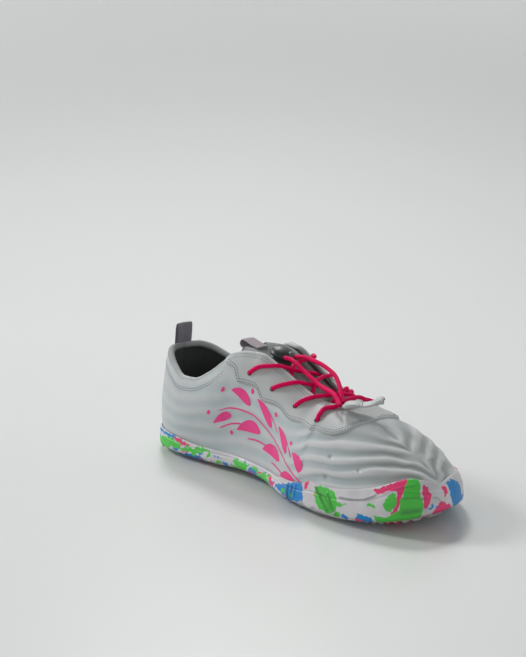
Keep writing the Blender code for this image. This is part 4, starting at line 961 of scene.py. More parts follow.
def make_upper():
    bases = np.linspace(0, 1, 361)
    for special in (THROAT_FRONT_BASE, POLE_BASE):
        bases[np.abs(bases - special).argmin()] = special
    shares = np.linspace(0, 1, 85)
    outer = Parts()
    grid_base, grid_share = np.meshgrid(bases, shares, indexing="ij")
    band = -np.cos(2 * math.pi * level_at(grid_base, grid_share, thin_plate(BAND_PLACES)))
    strength = (0.22 + 0.78 * ease((grid_base - 0.58) / 0.12)) * ease(grid_base / 0.12)
    fade = 1 - ease((grid_base - 0.93) / 0.07) * 0.4
    tip = 1 - ease((grid_base - 0.84) / 0.03) * ease((grid_share - 0.80) / 0.16)
    band = np.sign(band) * np.abs(band) ** 0.8 * strength * fade * tip
    tuck = np.zeros_like(band)
    for base, share in TUCKS:
        far = ((grid_base - base) / 0.0055) ** 2 + ((grid_share - share) / 0.016) ** 2
        tuck = np.maximum(tuck, np.exp(-far))
    for side in (-1, 1):
        plain = offset_surface(side, grid_base, grid_share, 0.0)
        relief = (band * BAND_RELIEF - tuck * TUCK_DEPTH)[..., None]
        block = plain + surface_normal(side, grid_base, grid_share) * relief
        ridge = grid_share > 1 - 1e-9
        ridge &= grid_base >= THROAT_FRONT_BASE - 1e-9
        seam = ridge | (grid_base > 1 - 1e-9) | (grid_base < 1e-9)
        block[seam] = plain[seam]
        rise = rows_length(block) + (0.5 if side > 0 else 0.0)
        uv = np.stack([grid_base * OUTLINE_LENGTH, rise], axis=-1)
        # Where the knit is painted darker: the toe and the vamp's top, partly its own tone and partly
        # painted shade.
        toe = ease((grid_base - 0.60) / 0.28) * (0.35 + 0.65 * ease((grid_share - 0.25) / 0.5))
        outer.add_grid(block, uv, flip=side < 0, band=band, tuck=tuck, toe=toe)
    upper = outer.piece("upper_knit", KNIT, "upper_fabric", merge=1e-6)
    inner = Parts()
    bases = np.linspace(0, 1, 161)
    bases[np.abs(bases - THROAT_FRONT_BASE).argmin()] = THROAT_FRONT_BASE
    grid_base, grid_share = np.meshgrid(bases, np.linspace(0, 1, 41), indexing="ij")
    for side in (-1, 1):
        block = offset_surface(side, grid_base, grid_share, -UPPER_WALL)
        uv = np.stack([grid_base * OUTLINE_LENGTH, grid_share * 0.07], axis=-1)
        inner.add_grid(block, uv, flip=side > 0)
    inner.piece("upper_lining", LINING, "lining_mesh", merge=1e-6)
    low = Parts()
    for side in (-1, 1):
        block = np.stack([offset_surface(side, bases, 0.0, k) for k in (0.0, -UPPER_WALL)], axis=1)
        low.add_grid(block, flip=side > 0)
    low.piece("upper_lower_edge", LINING, "lining_mesh", merge=1e-6)
    return upper


COLLAR_ROLL = (
    # base, radius of the roll in mm, darkness: painted shadow, deepest at the heel
    (0.000, 2.30, 0.75), (0.060, 2.40, 0.60), (0.110, 2.35, 0.40), (0.160, 2.00, 0.20),
    (0.220, 1.60, 0.08),
    (0.300, 1.35, 0.05), (0.345, 1.30, 0.00), (0.420, 1.25, 0.00), (0.650, 1.20, 0.00),
)


ROLL_PROUD = 0.00025


def make_collar_edge():
    """The padded edge round the collar and the throat, as one rounded roll, darkened by its field dark: a
    painted shadow towards the heel, and the lateral roll darker towards the throat.
    """
    bases = np.linspace(0, THROAT_FRONT_BASE - 0.004, 260)
    radius = table(COLLAR_ROLL, 1, bases) / 1000
    dark = table(COLLAR_ROLL, 2, bases)
    lines = []
    far = ease((bases - 0.40) / 0.06)
    for side in (-1, 1):
        # On the lateral side the roll is darker from the middle of the throat forward.
        if side > 0:
            dark = np.maximum(dark * 0.7, 0.9 * far)
            radius = radius + 0.00015 * far
        line = offset_surface(side, bases, 1.0, -radius + ROLL_PROUD)
        if side > 0:
            line = line + far[:, None] * np.array([0.0, 0.0006, 0.0007])
        down = ease((radius - 0.0013) / 0.001)[:, None] * np.array([0.0, 0.0, -0.0006])
        lines.append(np.concatenate([line + down, radius[:, None], dark[:, None]], axis=1))
    full = resample(np.concatenate([lines[0][::-1], lines[1][1:]]), 0.0011)
    parts = Parts()
    tube(parts, full[:, :3], full[:, 3], 16, caps=False)
    parts.fields["dark"] = [np.repeat(full[:, 4], 17)]
    parts.piece("collar_edge", EDGE, "upper_fabric")


def edge_material():
    s = Shade("collar_cloth", (0.45, 0.455, 0.455), 0.75, Sheen_Weight=0.15)
    cloud = s.noise(s.place(), 150.0, 3.0)
    light = s.mix(cloud, (0.42, 0.43, 0.43), (0.48, 0.49, 0.49))
    dark = s.mix(cloud, (0.075, 0.080, 0.085), (0.120, 0.125, 0.130))
    # The field dark mixes in the darker colour: painted shadow towards the heel, and the lateral roll
    # darker towards the throat.
    s.set("Base Color", s.mix(s.field("dark"), light, dark))
    s.bump(s.noise(s.place(), 900.0, 2.0), 0.00015, 0.6)
    return s.made


EDGE = edge_material()
upper = make_upper()
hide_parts("upper")
make_collar_edge()


# Eyestay overlay: between its scalloped lower edge and the edge of collar and throat

# The overlay's ends, the length of a rib of the upper there, and its rounded edge
EYESTAY_BACK = 0.3405
EYESTAY_FRONT = 0.732
RIB_LENGTH = 0.075
EDGE_DROP = 0.00055
EDGE_REACH = 0.0012
FILM_TOP = SEAT_GAP + OVERLAY_THICKNESS


def make_eyestay():
    ends = np.linspace(EYESTAY_BACK, 0.35, 12), np.linspace(0.72, EYESTAY_FRONT, 40)
    bases = np.unique(np.concatenate([np.linspace(EYESTAY_BACK, EYESTAY_FRONT, 300), *ends]))
    edge = table(EYESTAY_EDGE, 1, bases)
    shares = edge[:, None] + (1.0 - edge[:, None]) * np.linspace(0, 1, 46)[None, :]
    rise = (shares - edge[:, None]) * RIB_LENGTH
    behind = (bases[:, None] - bases[0]) * OUTLINE_LENGTH
    lift = FILM_TOP - EDGE_DROP * (1 - ease(np.minimum(rise, behind) / EDGE_REACH)) ** 2
    parts = Parts()
    for side in (-1, 1):
        block = offset_surface(side, bases[:, None], shares, lift)
        skirt = offset_surface(side, bases, edge, -0.0001)[:, None]
        block = np.concatenate([skirt, block], axis=1)
        parts.add_grid(block, flip=side < 0)
        foot = offset_surface(side, bases[0], np.concatenate([[edge[0]], shares[0]]), -0.0001)
        parts.add_grid(np.stack([block[0], foot]), flip=side > 0)
        top = np.stack([block[:, -1], offset_surface(side, bases, 1.0, -UPPER_WALL * 0.4)], axis=1)
        parts.add_grid(top[bases < THROAT_FRONT_BASE], flip=side < 0)
    return parts.piece("eyestay_overlay", FILM, "overlay_film", merge=1e-6)


eyestay = make_eyestay()
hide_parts("eyestay")


def stitches(parts, side, line, lift, length, gap, radius):
    """Adds a row of separate thread stitches along (base, share) places on the upper."""
    path = offset_surface(side, line[:, 0], line[:, 1], lift)
    normals = surface_normal(side, line[:, 0], line[:, 1])
    run = run_length(path)
    for i in range(int(run[-1] // (length + gap))):
        at = np.linspace(i * (length + gap), i * (length + gap) + length, 5)
        p = np.stack([np.interp(at, run, path[:, k]) for k in range(3)], axis=1)
        n = np.stack([np.interp(at, run, normals[:, k]) for k in range(3)], axis=1)
        sink = np.array([-0.9, 0.15, 0.35, 0.15, -0.9])[:, None] * radius
        tube(parts, p + n * sink, radius, 6, caps=False)


def edge_line(inset, bases):
    """Line inside the eyestay's lower edge, in (base, share)."""
    edge = table(EYESTAY_EDGE, 1, bases)
    line = np.stack([bases * OUTLINE_LENGTH, edge * RIB_LENGTH], axis=1)
    ahead = unit(np.gradient(line, axis=0))
    normal = np.stack([-ahead[:, 1], ahead[:, 0]], axis=1)
    moved = line + normal * inset
    return np.stack([moved[:, 0] / OUTLINE_LENGTH, np.clip(moved[:, 1] / RIB_LENGTH, 0, 1)], axis=1)


# Seam behind the eyestay, below the collar's padding: base, share
COLLAR_SEAM = (
    (0.02, 0.925), (0.10, 0.905), (0.173, 0.865), (0.21, 0.868), (0.25, 0.875), (0.285, 0.870),
    (0.32, 0.868), (0.342, 0.880),
)
# Length, gap and radius of a stitch
LONG_STITCH = (0.0010, 0.0009, 0.00024)
SHORT_STITCH = (0.0008, 0.0012, 0.00020)


def make_stitches():
    """Two rows each along the eyestay's lower edge, its upper edge and below the collar."""
    parts = Parts()
    for side in (-1, 1):
        for inset in (0.0012, 0.0028):
            line = edge_line(inset, np.linspace(0.346, 0.731, 260))
            line = line[(line[:, 1] < 0.975) & (line[:, 0] > 0.343)]
            stitches(parts, side, line, FILM_TOP, *LONG_STITCH)
        for down in (0.0016, 0.0031):
            bases = np.linspace(0.365, 0.655, 200)
            line = np.stack([bases, 1 - down / 0.062 + 0 * bases], axis=1)
            stitches(parts, side, line, FILM_TOP, *SHORT_STITCH)
        for down in (0.0, 0.032):
            bases = np.linspace(0.03, 0.345, 200)
            line = np.stack([bases, table(COLLAR_SEAM, 1, bases) - down], axis=1)
            stitches(parts, side, line, 0.00005, *SHORT_STITCH)
    parts.piece("stitches", THREAD)


make_stitches()


# Laces: strands out of the eyelets, over the flaps and across the throat

STRAND_RADIUS = LACE_DIAMETER * 0.46
LACE_STEP = 0.0006
LACE_SEAT = 0.00005
EYELET_RIM = 0.00022
HOLE_LIFT = 0.00012


def lace_over(side, base, share):
    """Where the lace's middle runs over a flap."""
    return offset_surface(side, base, share, FILM_TOP + LACE_SEAT + LACE_DIAMETER / 2)


def out_of_eyelet(side, base, share, towards):
    """The lace's rise out of its hole before it lies over towards the next place."""
    hole = surface(side, base, share)
    n = surface_normal(side, base, share)
    way = unit(towards - hole)
    way = unit(way - n * np.dot(way, n))
    return [hole - n * 0.0020 - way * 0.0004, hole + n * 0.0004, hole + n * 0.0020 + way * 0.0010]


# Where each strand crosses its flap's edge, its places over the throat in mm, and where
# it goes under the other flap
STRANDS = (
    # side, eyelet row, base at its own edge, places, base at the other edge
    (-1, 0, 0.487, ((129.5, -5.0, 72.6), (131.5, 3.0, 70.6)), 0.512),
    (1, 0, 0.482, ((123.9, 6.0, 76.4), (125.2, -3.0, 74.4)), 0.505),
    (-1, 1, 0.540, ((144.5, -8.0, 66.6), (146.5, -1.0, 65.0)), 0.570),
    (1, 1, 0.540, ((142.5, 6.5, 68.6), (144.8, -2.0, 66.6)), 0.566),
    (-1, 2, 0.592, ((162.5, -7.0, 62.6), (166.0, 0.0, 62.8), (170.0, 8.0, 60.4)), 0.632),
    (1, 2, 0.606, ((163.0, 8.0, 64.6), (164.0, 0.0, 61.6), (165.2, -6.0, 58.8)), 0.622),
)
BAR_PLACES = (
    (174.5, -13.0, 58.6), (176.0, -6.5, 61.4), (176.5, 0.0, 62.2), (176.0, 6.5, 61.4),
    (174.5, 13.0, 58.6),
)


def lace_strand(side, row, leave, places, dive):
    """A strand out of its eyelet, over its flap, across the throat and under the other."""
    base, share = EYELETS[row]
    on_flap = [lace_over(side, base + (leave - base) * k, share + (1.0 - share) * k) for k in (0.35, 0.72)]
    start = out_of_eyelet(side, base, share, on_flap[0])
    edge = top_point(side, leave) + np.array([0.0, side * 0.0012, 0.0019])
    under = top_point(-side, dive)
    low = [under + np.array(v) for v in ((0.0, side * 0.0022, -0.0026), (0.001, -side * 0.0030, -0.0052))]
    return smooth_path(start + on_flap + [edge] + [np.array(q) / 1000 for q in places] + low, 6)


def lace_bar():
    """The strand between the front eyelets, held up by the pull tab."""
    base, share = EYELETS[-1]
    halves = []
    for side in (-1, 1):
        over = [lace_over(side, base - 0.003 * k, share + (0.93 - share) * k / 2) for k in (0.6, 1.4)]
        halves.append(out_of_eyelet(side, base, share, over[0]) + over)
    return smooth_path(halves[0] + [np.array(q) / 1000 for q in BAR_PLACES] + halves[1][::-1], 6)


def make_laces():
    parts = Parts()
    for line in [lace_strand(*strand) for strand in STRANDS] + [lace_bar()]:
        tube(parts, resample(line, LACE_STEP), STRAND_RADIUS, 14)
    laces = parts.piece("lace_strands", CORD, "lace_cord", merge=1e-7)
    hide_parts("lace_crossing_1", "lace_crossing_2", "lace_crossing_3", "lace_bar")
    rims, holes = Parts(), Parts()
    for side in (-1, 1):
        for base, share in EYELETS:
            middle = offset_surface(side, base, share, FILM_TOP)
            n = surface_normal(side, base, share)
            a = unit(np.cross(n, [0.0, 0.0, 1.0]))
            b = np.cross(n, a)
            t = np.linspace(0, 2 * math.pi, 33)
            ring = middle + (np.cos(t)[:, None] * a + np.sin(t)[:, None] * b) * EYELET_DIAMETER / 2
            tube(rims, ring, EYELET_RIM, 8, caps=False)
            # A dark disc over each eyelet: painted shade inside the hole.
            disc = [middle + n * HOLE_LIFT + (ring - middle) * k for k in (1.0, 0.66, 0.33, 0.01)]
            holes.add_grid(np.array(disc))
    rims.piece("eyelet_rims", FILM)
    holes.piece("eyelet_hole_shade", HOLE_SHADE)


make_laces()


# Tongue: padded mesh cloth with soft folds

def tongue_rows(columns=7):
    depth = -(UPPER_WALL + TONGUE_GAP + TONGUE_THICKNESS / 2)
    rows = []
    for base, edge, inner, sag in TONGUE_ROWS:
        shares = np.linspace(edge, inner, 3)
        left = offset_surface(-1, base, shares, depth)
        right = offset_surface(1, base, shares, depth)[::-1]
        across = np.linspace(0, 1, columns)[1:-1, None]
        bridge = left[-1] * (1 - across) + right[0] * across
        bridge[:, 2] -= (sag * 4 * across * (1 - across))[:, 0]
        rows.append(np.concatenate([left, bridge, right]))
    last = rows[-1]
    for back, up, width, curve in TONGUE_TOP:
        middle = last[len(last) // 2]
        row = last.copy()
        row[:, 1] = middle[1] + (row[:, 1] - middle[1]) * width
        row[:, 2] = middle[2] + (row[:, 2] - middle[2]) * curve
        rows.append(row + np.array([-back, 0.0, up]))
    return np.array(rows)


def refine(grid, rows, columns):
    """A finer grid through the same points, on smooth curves both ways."""
    first = np.stack([smooth_path(grid[:, k], rows) for k in range(grid.shape[1])], axis=1)
    return np.stack([smooth_path(row, columns) for row in first])


def pad(grid, thickness, round_in=0.16):
    """Top and underside of a padded sheet whose edges are drawn in."""
    normal = unit(np.cross(np.gradient(grid, axis=0), np.gradient(grid, axis=1)))
    rows, columns = grid.shape[:2]
    u = np.minimum(np.linspace(0, 1, rows), np.linspace(1, 0, rows))[:, None] / (round_in * 0.4)
    v = np.minimum(np.linspace(0, 1, columns), np.linspace(1, 0, columns))[None, :] / (round_in * 0.6)
    edge = np.sqrt(1 - (1 - np.clip(u, 0, 1)) ** 2) * np.sqrt(1 - (1 - np.clip(v, 0, 1)) ** 2)
    half = (thickness / 2 * np.maximum(edge, 0.02))[..., None]
    return grid + normal * half, grid - normal * half, normal


FOLD_DEPTH = 0.000765
BINDING_RADIUS = 0.0011


def make_tongue():
    grid = refine(tongue_rows(), 8, 8)
    top, under, normal = pad(grid, TONGUE_THICKNESS)
    rows, columns = grid.shape[:2]
    u, v = np.meshgrid(np.linspace(0, 1, rows), np.linspace(-1, 1, columns), indexing="ij")
    inside = ease((1 - np.abs(v)) / 0.25) * ease(u / 0.1) * ease((1 - u) / 0.05) * ease((u - 0.25) / 0.2)
    folds = FOLD_DEPTH * np.sin(u * 46 + 1.5 * np.sin(v * 3.1)) * (0.5 + 0.5 * np.cos(v * 2.2)) * inside
    top = top + normal * np.where(normal[..., 2:3] > 0, 1, -1) * folds[..., None]
    uv = np.stack([u * 0.12, v * 0.03], axis=-1)
    parts = Parts()
    parts.add_grid(top, uv)
    parts.add_grid(under, uv, flip=True)
    piece = parts.piece("tongue_pad", TONGUE_CLOTH, "lining_mesh")
    rim = Parts()
    border = np.concatenate([grid[-26:, 0], grid[-1, 1:-1], grid[-26:, -1][::-1]])
    tube(rim, resample(border, 0.0012), BINDING_RADIUS, 10)
    rim.piece("tongue_binding", BINDING, "lining_mesh")
    return piece


BINDING = webbing_material("binding_grey", (0.14, 0.14, 0.145), (0.05, 0.05, 0.052), 0.0009)
tongue = make_tongue()
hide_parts("tongue")


# Webbing loops at the heel and on the tongue

def loop_strip(legs_out, legs_in, tip, count=24):
    """Middle line of a webbing loop: two legs and the bend between them round its tip."""
    out_end, in_end = legs_out[-1], legs_in[0]
    middle = (out_end + in_end) / 2
    reach = tip - middle
    across = (in_end - out_end) / 2
    t = math.pi * np.arange(1, count) / count
    wide = 1.0 + 0.9 * np.sin(t) ** 2
    bend = middle - across * (np.cos(t) * wide)[:, None] + reach * (np.sin(t) ** 0.8)[:, None]
    return np.concatenate([legs_out, bend, legs_in])


def strip_piece(name, columns, thickness, material, slot):
    """A woven strip with rounded edges, from its middle lines side by side."""
    grid = np.array(columns)
    normal = unit(np.cross(np.gradient(grid, axis=0), np.gradient(grid, axis=1)))
    v = np.linspace(-1, 1, len(grid))
    half = thickness / 2 * np.sqrt(np.clip(1 - np.abs(v) ** 8, 0.0004, 1))[:, None, None]
    run = rows_length(grid)
    uv = np.stack([run, np.broadcast_to(v[:, None] * 0.007, run.shape)], axis=-1)
    parts = Parts()
    top, under = grid + normal * half, grid - normal * half
    parts.add_grid(top, uv)
    parts.add_grid(under, uv, flip=True)
    for end in (0, -1):
        parts.add_grid(np.stack([top[:, end], under[:, end]], axis=1))
    return parts.piece(name, material, slot, merge=1e-7)


# How far the heel loop's inner leg reaches into the shoe
LOOP_TUCK = 0.0035


def make_heel_loop():
    columns = []
    stand = SEAT_GAP + LOOP_THICKNESS / 2
    shares = np.linspace(1 - LOOP_LAP / HEEL_HEIGHT, 1.0, 9)
    hidden = np.linspace(1.0, 1 - LOOP_TUCK / HEEL_HEIGHT, 5)
    for across in np.linspace(-0.5, 0.5, 17):
        side = -1 if across < 0 else 1
        bases = np.linspace(0, 0.06, 61)
        away = side * (surface(side, bases, 0.9)[:, 1] - centre(0.0))
        base = np.interp(abs(across) * LOOP_WIDTH, away, bases)
        out_leg = offset_surface(side, base, shares, stand)
        in_leg = offset_surface(side, base, hidden, -UPPER_WALL * 0.5)
        tip = (out_leg[-1] + in_leg[0]) / 2 + np.array([0.002, 0.0, LOOP_RISE])
        columns.append(loop_strip(out_leg, in_leg, tip))
    return strip_piece("heel_loop_webbing", columns, LOOP_THICKNESS, WEBBING, "webbing")


def make_tongue_loop():
    grid = tongue_rows()
    columns = []
    stand = TONGUE_THICKNESS / 2 + SEAT_GAP * 2.5 + LOOP_THICKNESS / 2
    middle = grid.shape[1] // 2
    back, front = grid[-1, middle], grid[-2, middle]
    along = unit(front - back)
    upward = unit(np.cross(along, np.array([0.0, 1.0, 0.0])))
    upward *= np.sign(upward[2])
    steps = np.linspace(0.006, 0.0, 7)
    for across in np.linspace(-0.5, 0.5, 13):
        shift = np.array([0.0, across * TONGUE_LOOP_WIDTH, 0.0])
        top_leg = np.array([back + along * k + upward * stand + shift for k in steps])
        low_leg = np.array([back + along * k - upward * stand + shift for k in steps[::-1]])
        columns.append(loop_strip(top_leg, low_leg, back - along * TONGUE_LOOP_REACH + shift))
    return strip_piece("tongue_loop_tape", columns, LOOP_THICKNESS, LOOP_TAPE, "webbing")


heel_loop = make_heel_loop()
tongue_loop = make_tongue_loop()
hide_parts("heel_loop")
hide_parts("tongue_loop")


# Cord lock: a pebble with a curved groove round it, a rim below and its spring button

# The button's place and half size, as shares of the lock's length, width and height
LOCK_SIZE = np.array((CORD_LOCK_LENGTH, CORD_LOCK_WIDTH, CORD_LOCK_HEIGHT))
BUTTON_PLACE = np.array((0.30, 0.16, 0.10))
BUTTON_SIZE = np.array((0.20, 0.30, 0.36))


TURN = np.linspace(0, 2 * math.pi, 73)
# The groove's highest side in radians, its width as a share of the height, its depth
GROOVE_TURN = 0.6
GROOVE_WIDTH = 0.085
GROOVE_DEPTH = 0.0011
LOCK_RIM_RADIUS = 0.00055


def lock_place(turn, level):
    """Places on the pebble, from the turn round it and the level between its poles."""
    reach = np.sqrt(np.clip(1 - np.abs(level) ** 2.4, 0, 1))
    return np.stack([np.cos(turn) * reach, np.sin(turn) * reach, level], axis=-1) * LOCK_SIZE / 2


def make_cord_lock():
    grid = tongue_rows()
    row = len(TONGUE_ROWS) - 1
    middle = grid.shape[1] // 2
    along = unit(grid[row - 1, middle] - grid[row + 1, middle])
    upward = unit(np.cross(np.array([0.0, -1.0, 0.0]), along))
    upward *= np.sign(upward[2])
    stand = TONGUE_THICKNESS / 2 + SEAT_GAP * 2 + CORD_LOCK_HEIGHT / 2
    seat = grid[row, middle] * 0.75 + grid[row - 1, middle] * 0.25 + upward * stand
    forward = unit(along - upward * np.dot(along, upward))
    sideways = np.cross(upward, forward)
    axes = np.stack([forward, sideways, upward])
    grid_v, u = np.meshgrid(np.linspace(-math.pi / 2, math.pi / 2, 49), TURN, indexing="ij")
    level = np.sin(grid_v)
    groove = level - (0.10 + 0.20 * np.cos(u - GROOVE_TURN))
    cut = np.exp(-((groove / GROOVE_WIDTH) ** 2)) * GROOVE_DEPTH
    inward = np.stack([np.cos(u), np.sin(u), np.sign(level) * 0.2], axis=-1)
    local = lock_place(u, level) - inward * cut[..., None]
    parts = Parts()
    parts.add_grid(local @ axes + seat)
    lock = parts.piece("cord_lock_body", LOCK, "lock_plastic", merge=1e-6)
    rim = Parts()
    ring = lock_place(TURN, -0.30 + 0.10 * np.cos(TURN - GROOVE_TURN))
    tube(rim, ring @ axes + seat, LOCK_RIM_RADIUS, 8, caps=False)
    ball = np.stack([np.cos(grid_v) * np.cos(u), np.cos(grid_v) * np.sin(u), level], axis=-1)
    rim.add_grid((ball * LOCK_SIZE * BUTTON_SIZE + LOCK_SIZE * BUTTON_PLACE) @ axes + seat)
    rim.piece("cord_lock_rim", LOCK_RIM, "lock_plastic")
    return lock


cord_lock = make_cord_lock()
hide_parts("cord_lock")


# Insole: foam bed under dark cloth

# Share of the half width, share of the thickness
INSOLE_SECTION = (
    (0.0, 0.0), (1.0, 0.0), (1.0, 0.25), (1.0, 0.7), (0.985, 0.93), (0.95, 1.0), (0.85, 1.0),
    (0.6, 0.98),
    (0.3, 0.96), (0.0, 0.95),
)


def make_insole():
    inset = SOLE_WALL + UPPER_WALL + INSOLE_GAP
    bases = np.linspace(0, 1, 161)
    parts = Parts()
    for side in (-1, 1):
        edge, _ = outline(side, bases, inset)
        other, _ = outline(-side, bases, inset)
        middle = (edge + other) / 2
        rows = []
        for k, lift in INSOLE_SECTION:
            plan = middle + (edge - middle) * k
            z = bed(plan[:, 0]) + SEAT_GAP + lift * INSOLE_THICKNESS
            rows.append(np.concatenate([plan, z[:, None]], axis=1))
        block = np.stack(rows, axis=1)
        parts.add_grid(block, block[..., :2], flip=side > 0)
    return parts.piece("insole_pad", FOOTBED, "insole_foam", merge=1e-6)


insole = make_insole()
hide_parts("insole")


# Side print: a leafy sprig that runs back and up from PRINT_BASE. Places in mm: back
# along the side, and up it with PRINT_TALL mm for its whole height
PRINT_BASE = 0.665
PRINT_TALL = 66.0
PRINT_LIFT = 0.00018
PRINT_LEAVES = (
    # start back and up, turn in degrees from straight back, length, half width
    (6.0, 13.5, 44, 17, 3.4), (27.0, 22.0, 40, 19, 3.7), (50.0, 29.0, 34, 20, 3.7),
    (74.0, 34.5, 26, 19, 3.3),
    (12.0, 7.0, -2, 22, 3.4), (36.0, 14.5, -4, 25, 3.8), (63.0, 21.5, -6, 25, 3.6),
    (92.0, 27.0, -6, 17, 2.8),
)
PRINT_LINES = (
    # points back and up
    ((-2.0, 5.0), (22.0, 15.5), (46.0, 23.5), (72.0, 29.5), (104.0, 33.0)),
    ((19.0, 21.5), (25.0, 27.5), (33.0, 33.0)),
    ((42.0, 29.5), (49.0, 35.0), (58.0, 39.5)),
    ((26.0, 8.0), (36.0, 8.5), (50.0, 8.5)),
    ((52.0, 15.5), (62.0, 16.0), (78.0, 15.0)),
    ((80.0, 22.5), (90.0, 22.5), (104.0, 21.0)),
)
# back, up, radius
PRINT_DOTS = (
    (22.0, 30.5, 1.5), (46.0, 39.5, 1.5), (72.0, 43.0, 1.6), (98.0, 45.0, 1.5), (93.0, 17.0, 1.4),
    (112.0, 34.0, 1.7),
)
LINE_HALF = 0.48


def make_print():
    """Leaves on a thin stem, with loose lines and dots between them."""
    parts = Parts()

    def place(side, back, up):
        base = PRINT_BASE - back / (OUTLINE_MM)
        return offset_surface(side, base, up / PRINT_TALL, PRINT_LIFT)

    def ribbon(side, line, half):
        run = np.gradient(line, axis=0)
        across = np.stack([-run[:, 1], run[:, 0]], axis=1) / np.linalg.norm(run, axis=1)[:, None]
        rows = [line + across * (w * half)[:, None] for w in np.linspace(-1, 1, 9)]
        parts.add_grid(np.array([place(side, row[:, 0], row[:, 1]) for row in rows]), flip=side < 0)

    k = np.linspace(0, 1, 41)
    for side in (-1, 1):
        for back, up, turn, length, half in PRINT_LEAVES:
            a = math.radians(turn)
            bow = 0.09 * length * np.sin(math.pi * k)
            run = length * k
            line_back = back + run * math.cos(a) - bow * math.sin(a)
            line_up = up + run * math.sin(a) + bow * math.cos(a)
            ribbon(side, np.stack([line_back, line_up], axis=1), half * np.sin(math.pi * k**0.75) ** 0.8)
        for points in PRINT_LINES:
            line = smooth_path(np.array(points), 12)
            t = np.linspace(-1, 1, len(line))
            ribbon(side, line, LINE_HALF * np.sqrt(np.clip(1 - t**8, 0, 1)))
        for back, up, radius in PRINT_DOTS:
            t = np.linspace(0, 2 * math.pi, 25)
            reach = radius * np.array([0.0, 0.5, 1.0])[:, None]
            parts.add_grid(place(side, back + reach * np.cos(t), up + reach * np.sin(t)), flip=side > 0)
    parts.piece("side_print", PRINT, "upper_fabric")


make_print()


# Sole: side wall and rim, tread, and the marbling that runs through both

MARBLE_WALL = {
    # medial side of the wall: corners as base and height in mm
    "green": (
        (
            (0.04, 0), (0.09, 7), (0.13, 11.5), (0.17, 12.5), (0.205, 10.5), (0.205, 7), (0.17, 6.5),
            (0.12, 3), (0.06, 0),
        ),
        ((0.205, 8), (0.23, 9.2), (0.28, 10), (0.275, 8.5), (0.25, 7), (0.215, 6)),
        ((0.325, 7), (0.345, 6.5), (0.34, 4.5), (0.328, 5)),
        (
            (0.385, 12), (0.41, 10.5), (0.435, 10.5), (0.43, 8), (0.415, 5), (0.39, 2.5), (0.398, 6),
            (0.38, 9.5),
        ),
        ((0.48, 9), (0.52, 8.3), (0.525, 5.5), (0.505, 4.5), (0.47, 3.5), (0.475, 6)),
        (
            (0.703, 18.5), (0.72, 20), (0.757, 19), (0.765, 12), (0.762, 8), (0.745, 5.5), (0.72, 6),
            (0.708, 10),
        ),
        ((0.765, 13), (0.80, 15.5), (0.785, 13.5), (0.77, 11)),
        ((-0.030, 2), (-0.024, 8), (-0.006, 11), (0.012, 12), (0.026, 8), (0.020, 3), (0.0, 1)),
        (
            (0.868, 16.5), (0.87, 21), (0.882, 25.5), (0.893, 24.5), (0.892, 18), (0.885, 15),
            (0.875, 14.5),
        ),
        (
            (0.907, 32), (0.925, 33), (0.94, 29), (0.938, 24.5), (0.945, 22), (0.945, 16), (0.94, 9),
            (0.93, 4),
            (0.89, 4), (0.86, 5), (0.85, 10.5), (0.88, 11.5), (0.90, 15), (0.903, 22),
        ),
    ),
    "pink": (
        ((0.18, 14), (0.205, 13.5), (0.235, 10.8), (0.20, 9.5), (0.185, 12)),
        ((0.67, 21.5), (0.68, 21.5), (0.68, 15.5), (0.672, 15.5)),
        (
            (0.845, 25), (0.87, 28.5), (0.905, 33), (0.912, 28), (0.905, 25.5), (0.885, 26.5),
            (0.868, 25.5), (0.85, 23),
        ),
        ((0.893, 26), (0.905, 26), (0.90, 19), (0.895, 13), (0.885, 12.5), (0.89, 18)),
        ((0.945, 30), (0.955, 27.5), (0.963, 24), (0.958, 17), (0.948, 16.5), (0.945, 22), (0.943, 26)),
        (
            (0.965, 12), (0.965, 6), (1.0, 5), (1.018, 7), (1.02, 14), (1.0, 17), (0.985, 19.5),
            (0.978, 16), (0.968, 14),
        ),
        ((1.0, 21), (1.012, 22), (1.010, 26), (0.996, 26)),
        ((0.02, 3), (0.045, 4), (0.05, 1), (0.03, 0)),
        ((-0.012, 15), (0.004, 16), (0.022, 14), (0.010, 12.5), (-0.006, 13)),
    ),
    "blue": (
        (
            (0.06, 14), (0.12, 15), (0.165, 15), (0.185, 14.5), (0.185, 13), (0.16, 12.8), (0.12, 13.5),
            (0.07, 12),
        ),
        ((0.22, 5.5), (0.275, 6), (0.285, 3.5), (0.255, -2), (0.225, -2)),
        ((0.44, 10), (0.455, 10.2), (0.48, 9.3), (0.465, 5), (0.44, 1), (0.425, 2), (0.43, 6)),
        (
            (0.56, 8.5), (0.60, 12), (0.655, 18), (0.665, 15), (0.668, 11), (0.665, 7), (0.645, 5),
            (0.61, 4.5), (0.585, 6), (0.55, 7.5),
        ),
        ((0.51, 2.5), (0.56, 1.5), (0.60, 0.5), (0.65, 3), (0.62, 4), (0.58, 3)),
        ((0.815, 10.5), (0.845, 9.5), (0.85, 6), (0.83, 3), (0.80, 2.5), (0.81, 6)),
        ((1.020, 27), (1.045, 28), (1.070, 24), (1.068, 14), (1.050, 10), (1.026, 13), (1.018, 20)),
        ((0.640, 3), (0.665, 3), (0.660, 0), (0.62, 0)),
    ),
}
